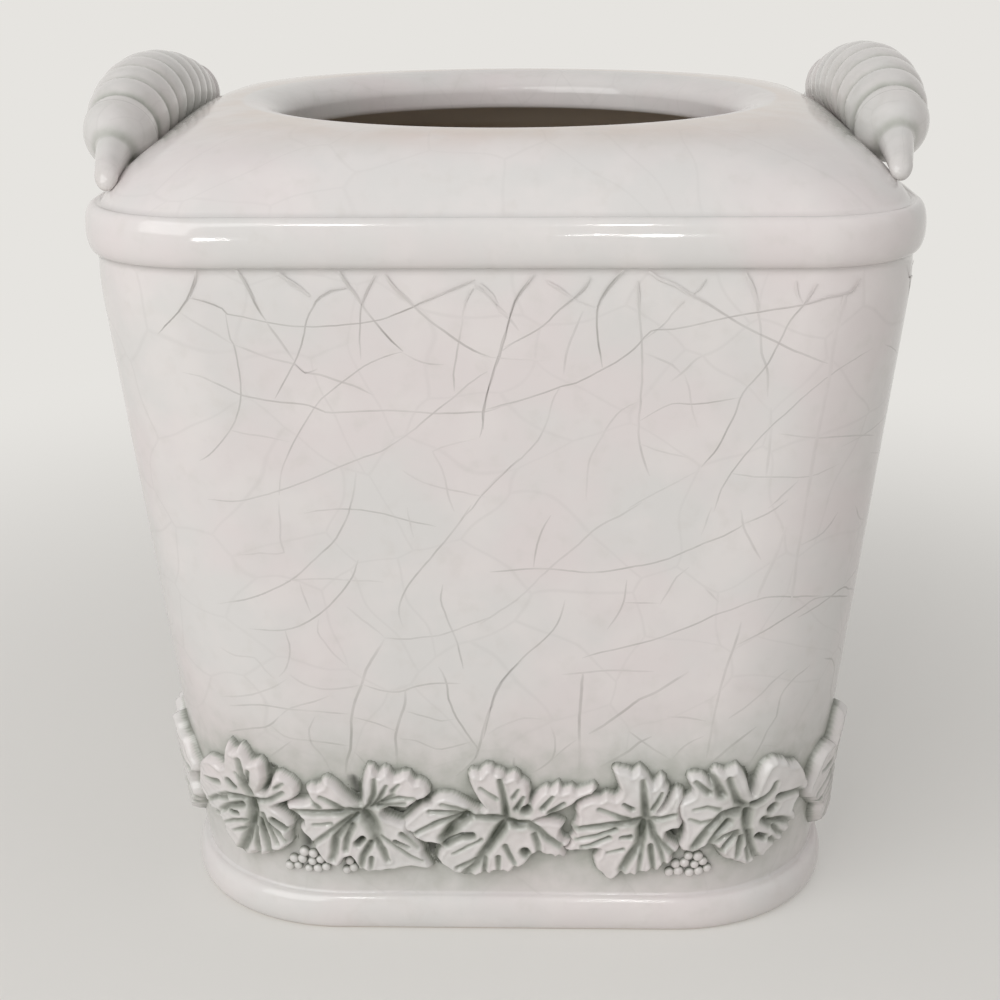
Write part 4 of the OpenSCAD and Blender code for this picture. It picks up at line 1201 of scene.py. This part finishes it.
def glaze(name):
    """Glossy cream glaze over pale clay, dipped and fired, then crackled and stained.

    The glaze is pale on edges and grey-green where it pools, and clouds of a warmer and a
    greener white drift through it. Painted shade darkens it in hollows, creases and round the
    leaves, and a painted warm reflection lies on the shoulder. Fine crackle lines hold some stain.
    """
    mat = bpy.data.materials.get(name)
    if mat:
        return mat
    s, c = sizes(), colours()
    mat = bpy.data.materials.new(name)
    mat.use_nodes = True
    tree = mat.node_tree
    tree.nodes.clear()
    where = add(tree, "ShaderNodeTexCoord").outputs["Object"]
    flat = add(tree, "ShaderNodeUVMap", uv_map="unrolled").outputs[0]

    # Clouds in the glaze, 30 mm, 12 mm and 4 mm across
    wide = add(tree, "ShaderNodeTexNoise", {"Vector": where, "Scale": 1 / 0.030, "Detail": 3.0})
    middling = add(tree, "ShaderNodeTexNoise", {"Vector": where, "Scale": 1 / 0.012, "Detail": 3.0})
    small = add(tree, "ShaderNodeTexNoise", {"Vector": where, "Scale": 1 / 0.004, "Detail": 3.0})
    warm = add(tree, "ShaderNodeMapRange", {"Value": wide.outputs[0], "From Min": 0.38, "From Max": 0.64},
               interpolation_type="SMOOTHSTEP")
    milky = add(tree, "ShaderNodeMapRange", {"Value": middling.outputs[0], "From Min": 0.42, "From Max": 0.7,
                                              "To Max": 0.55}, interpolation_type="SMOOTHSTEP")
    dull = add(tree, "ShaderNodeMapRange", {"Value": small.outputs[0], "From Min": 0.5, "From Max": 0.8,
                                             "To Max": 0.3}, interpolation_type="SMOOTHSTEP")

    # Faint net of crackle with cells 17 mm across, bent by clouds 45 mm across, and drawn 0.5 mm
    # wide, because the real hairlines are too fine to show
    sway = add(tree, "ShaderNodeTexNoise", {"Vector": flat, "Scale": 1 / 0.045, "Detail": 2.0},
               noise_dimensions="2D")
    bent = add(tree, "ShaderNodeVectorMath", {0: sway.outputs[1], 1: (0.022, 0.022, 0.0), 2: flat},
               operation="MULTIPLY_ADD")
    cells = add(tree, "ShaderNodeTexVoronoi", {"Vector": bent.outputs[0], "Scale": 1 / s.crackle},
                feature="DISTANCE_TO_EDGE", voronoi_dimensions="2D")
    line = add(tree, "ShaderNodeMapRange", {"Value": cells.outputs[0], "From Min": 0.0,
                                             "From Max": s.crack_w / s.crackle, "To Min": 0.5, "To Max": 0.0},
               interpolation_type="SMOOTHSTEP")
    share = add(tree, "ShaderNodeAttribute", attribute_name="net")
    patchy = add(tree, "ShaderNodeMath", {0: share.outputs["Fac"], 1: middling.outputs[0]},
                 operation="MULTIPLY")
    net = add(tree, "ShaderNodeMath", {0: line.outputs[0], 1: patchy.outputs[0]}, operation="MULTIPLY")
    drawn = add(tree, "ShaderNodeAttribute", attribute_name="stain")
    stain = add(tree, "ShaderNodeMath", {0: net.outputs[0], 1: drawn.outputs["Fac"]}, operation="ADD",
                use_clamp=True)

    # Glaze pools, and painted shade lies, unevenly, over clouds 4 mm across
    pool_and_shade = add(tree, "ShaderNodeAttribute", attribute_name="pool_and_shade")
    spread = add(tree, "ShaderNodeMapRange", {"Value": small.outputs[0], "From Min": 0.3, "From Max": 0.7,
                                               "To Min": 0.75, "To Max": 1.2})
    depth = add(tree, "ShaderNodeMath", {0: pool_and_shade.outputs["Fac"], 1: spread.outputs[0]}, operation="MULTIPLY",
                use_clamp=True)
    thin = add(tree, "ShaderNodeMapRange", {"Value": depth.outputs[0], "From Max": 0.42},
               interpolation_type="SMOOTHSTEP")
    thick = add(tree, "ShaderNodeMapRange", {"Value": depth.outputs[0], "From Min": 0.3, "From Max": 0.72},
                interpolation_type="SMOOTHSTEP")
    deep = add(tree, "ShaderNodeMapRange", {"Value": depth.outputs[0], "From Min": 0.68, "From Max": 1.0},
               interpolation_type="SMOOTHSTEP")
    # Painted shadow in the deep holes between the leaves, over a shallow dent in the wall
    hollow = add(tree, "ShaderNodeAttribute", attribute_name="hollow")
    pit = add(tree, "ShaderNodeMapRange", {"Value": hollow.outputs["Fac"], "From Min": 0.25, "From Max": 1.0,
                                           "To Max": 0.85},
              interpolation_type="SMOOTHSTEP")
    inside = add(tree, "ShaderNodeAttribute", attribute_name="inside")
    # The foot stands on bare clay
    height = add(tree, "ShaderNodeSeparateXYZ", {0: where})
    bare = add(tree, "ShaderNodeMapRange", {"Value": height.outputs[2], "From Min": 0.0002,
                                            "From Max": 0.0006, "To Min": 1.0, "To Max": 0.0})
    # A painted warm reflection on the shoulder, stronger towards its crest
    painted_warm_reflection = add(tree, "ShaderNodeAttribute", attribute_name="painted_warm_reflection")
    warm_reflection_share = add(tree, "ShaderNodeMath", {0: painted_warm_reflection.outputs["Fac"], 1: 0.85}, operation="MULTIPLY")
    # Coats over one another: warm and milky clouds, a painted warm reflection on the shoulder,
    # dull specks, stain, and glaze that pools pale, grey-green and dark, partly as painted shade,
    # then painted shadow in the hollows, the inside and the foot
    paint = linear("#dbd9d7")
    for share, code in ((warm.outputs[0], c.cream), (warm_reflection_share.outputs[0], linear("#d9c8bc")),
                        (milky.outputs[0], linear("#e4dfdd")), (dull.outputs[0], linear("#cfcbc6")),
                        (stain.outputs[0], c.crack), (thin.outputs[0], linear("#b6b7b0")),
                        (thick.outputs[0], c.pooled_and_shaded), (deep.outputs[0], c.deep),
                        (pit.outputs[0], linear("#3f4139")), (inside.outputs["Fac"], c.inside),
                        (bare.outputs[0], c.bisque)):
        coat = add(tree, "ShaderNodeMix", {0: share, 6: paint, 7: tuple(code)}, data_type="RGBA")
        paint = coat.outputs[2]

    # Soft waves left by the dipping, 12 mm across, and a dimple at each faint line
    waves = add(tree, "ShaderNodeBump", {"Height": middling.outputs[0], "Strength": 0.12, "Distance": 0.0006})
    nicks = add(tree, "ShaderNodeBump", {"Height": net.outputs[0], "Strength": 0.15, "Distance": 0.0001,
                                         "Normal": waves.outputs[0]}, invert=True)
    gloss = add(tree, "ShaderNodeMapRange", {"Value": wide.outputs[0], "From Min": 0.3, "From Max": 0.7,
                                              "To Min": 0.07, "To Max": 0.14})
    rough = add(tree, "ShaderNodeMix", {0: bare.outputs[0], 2: gloss.outputs[0], 3: 0.7}, data_type="FLOAT")
    shader = add(tree, "ShaderNodeBsdfPrincipled", {"Base Color": paint, "Roughness": rough.outputs[0],
                                                    "IOR": 1.52, "Normal": nicks.outputs[0]})
    add(tree, "ShaderNodeOutputMaterial", {"Surface": shader.outputs[0]})
    return mat


# Stage

BACKDROP = linear("#e6e4e0")

# Name, place, aim, size in metres and watts
SOFT_LAMPS = (
    ("key", (-0.75, -0.92, 0.78), (0, 0, 0.09), (1.1, 1.1), 9.2),
    ("fill", (1.3, -0.5, 1.1), (0, 0, 0.12), (1.2, 1.2), 1.4),
)

# Where on the bead each glint lies, the way to its lamp, and the lamp's width and height
GLINTS = (
    ((-0.0551, -0.0808, 0.1498), (-0.19, -0.98, -0.02), (0.015, 0.03)),
    ((0.0167, -0.0807, 0.1506), (0.03, -0.99, 0.11), (0.015, 0.010)),
    ((0.0291, -0.0807, 0.1505), (0.06, -0.99, 0.09), (0.016, 0.030)),
)
GLINT_AWAY, GLINT_POWER = 0.35, 26

# Degrees to the right of the front and above the floor
BULB_ANGLES = ((-10.5, 42), (4.5, 41))
BULB_AWAY, BULB_SIZE, BULB_WATTS = 1.2, (0.045, 0.12), 0.4


def seen_or_mirrored(tree):
    """1 for what the camera sees straight or mirrored in the glaze, and 0 for what only lights."""
    ray = add(tree, "ShaderNodeLightPath").outputs
    seen = add(tree, "ShaderNodeMath", {0: ray["Is Camera Ray"], 1: ray["Is Glossy Ray"]},
               operation="MAXIMUM")
    return seen.outputs[0]


def area_light(name, at, towards, size, watts, shape="RECTANGLE"):
    data = bpy.data.lights.new(name, "AREA")
    data.shape = shape
    data.size, data.size_y = size
    data.energy = watts
    obj = bpy.data.objects.new(name, data)
    bpy.context.scene.collection.objects.link(obj)
    obj.location = at
    obj.rotation_euler = (Vector(towards) - Vector(at)).to_track_quat("-Z", "Y").to_euler()
    return obj


class COVER_OT_stage(bpy.types.Operator):
    """Build the floor, the lights and the camera"""
    bl_idname = "cover.stage"
    bl_label = "Stage"

    def execute(self, context):
        scene = context.scene
        deselect()
        bpy.ops.mesh.primitive_plane_add(size=14.0, location=(0, 2.0, 0))
        floor = bpy.context.object
        floor.name = "floor"
        # Matt pale paper, whose far part the camera and the glaze see as an evenly lit backdrop
        mat = bpy.data.materials.new("Matt pale paper floor")
        mat.use_nodes = True
        tree = mat.node_tree
        tree.nodes.clear()
        where = add(tree, "ShaderNodeTexCoord").outputs["Object"]
        place = add(tree, "ShaderNodeVectorMath", {0: where, 1: (0.0, -2.0, 0.0)}, operation="SUBTRACT")
        reach = add(tree, "ShaderNodeVectorMath", {0: place.outputs[0]}, operation="LENGTH")
        far = add(tree, "ShaderNodeMapRange", {"Value": reach.outputs["Value"], "From Min": 0.10,
                                               "From Max": 0.42, "To Min": 0.35},
                  interpolation_type="SMOOTHSTEP")
        share = add(tree, "ShaderNodeMath", {0: far.outputs[0], 1: seen_or_mirrored(tree)},
                    operation="MULTIPLY")
        fibres = add(tree, "ShaderNodeTexNoise", {"Vector": where, "Scale": 400.0, "Detail": 3.0})
        grain = add(tree, "ShaderNodeBump", {"Height": fibres.outputs[0], "Strength": 0.1,
                                             "Distance": 0.0002})
        paper = add(tree, "ShaderNodeBsdfPrincipled", {"Base Color": tuple(colours().floor),
                                                       "Roughness": 0.9, "Normal": grain.outputs[0]})
        glow = add(tree, "ShaderNodeEmission", {"Color": BACKDROP, "Strength": 1.0})
        shader = add(tree, "ShaderNodeMixShader", {0: share.outputs[0], 1: paper.outputs[0],
                                                   2: glow.outputs[0]})
        add(tree, "ShaderNodeOutputMaterial", {"Surface": shader.outputs[0]})
        floor.data.materials.append(mat)
        world = bpy.data.worlds.new("Soft room")
        scene.world = world
        world.use_nodes = True
        tree = world.node_tree
        tree.nodes.clear()
        room = add(tree, "ShaderNodeBackground", {"Color": linear("#f5f3f2"), "Strength": 0.5})
        backdrop = add(tree, "ShaderNodeBackground", {"Color": BACKDROP, "Strength": 1.0})
        shader = add(tree, "ShaderNodeMixShader", {0: seen_or_mirrored(tree), 1: room.outputs[0],
                                                   2: backdrop.outputs[0]})
        add(tree, "ShaderNodeOutputWorld", {"Surface": shader.outputs[0]})
        for name, at, towards, size, watts in SOFT_LAMPS:
            area_light(name, at, towards, size, watts)
        # Small lamps close by, each for one glint on the rim bead
        for number, (glint, towards, size) in enumerate(GLINTS, 1):
            at = Vector(glint) + Vector(towards).normalized() * GLINT_AWAY
            watts = math.pi * size[0] * size[1] * GLINT_POWER
            area_light("glint_%d" % number, at, glint, size, watts, shape="ELLIPSE")
        # Small bulbs further off, which glint on the foot, the lip, the handles and the leaf tips
        for number, (across, up) in enumerate(BULB_ANGLES, 1):
            a, b = math.radians(across), math.radians(up)
            way = Vector((math.sin(a) * math.cos(b), -math.cos(a) * math.cos(b), math.sin(b)))
            at = Vector((0, -0.07, 0.05)) + way * BULB_AWAY
            area_light("bulb_%d" % number, at, (0, 0, 0.05), BULB_SIZE, BULB_WATTS, shape="ELLIPSE")
        camera = bpy.data.objects.new("camera", bpy.data.cameras.new("camera"))
        scene.collection.objects.link(camera)
        right, up = Vector(CAMERA_RIGHT), Vector(CAMERA_UP)
        turn = Matrix((right, up, right.cross(up))).transposed().to_4x4()
        camera.matrix_world = Matrix.Translation(CAMERA_AT) @ turn
        camera.data.lens = CAMERA_LENS
        camera.data.sensor_width = SENSOR_WIDE
        camera.data.shift_y = CAMERA_SHIFT
        camera.data.clip_end = 50.0
        scene.camera = camera
        scene.view_settings.view_transform = "Standard"
        return {"FINISHED"}


class COVER_PT_panel(bpy.types.Panel):
    """The cover's steps and sizes"""
    bl_idname = "COVER_PT_panel"
    bl_label = "Tissue box cover"
    bl_space_type = "VIEW_3D"
    bl_region_type = "UI"
    bl_category = "Tissue cover"

    def draw(self, context):
        for step in STEPS:
            self.layout.operator(step)
        for group in (context.scene.cover_sizes, context.scene.cover_colours):
            box = self.layout.box()
            for name in group.bl_rna.properties.keys():
                if name not in {"rna_type", "name"}:
                    box.prop(group, name)


STEPS = ("cover.body", "cover.crackle", "cover.handles", "cover.leaves", "cover.grapes", "cover.stage")
CLASSES = (CoverSizes, CoverColours, COVER_OT_body, COVER_OT_crackle, COVER_OT_handles, COVER_OT_leaves,
           COVER_OT_grapes, COVER_OT_stage, COVER_PT_panel)


def register():
    for cls in CLASSES:
        bpy.utils.register_class(cls)
    bpy.types.Scene.cover_sizes = PointerProperty(type=CoverSizes)
    bpy.types.Scene.cover_colours = PointerProperty(type=CoverColours)


def unregister():
    del bpy.types.Scene.cover_sizes
    del bpy.types.Scene.cover_colours
    for cls in reversed(CLASSES):
        bpy.utils.unregister_class(cls)


def main():
    register()
    bpy.ops.cover.body()
    bpy.ops.cover.crackle()
    bpy.ops.cover.handles()
    bpy.ops.cover.leaves()
    bpy.ops.cover.grapes()
    bpy.ops.cover.stage()


if __name__ == "__main__":
    main()
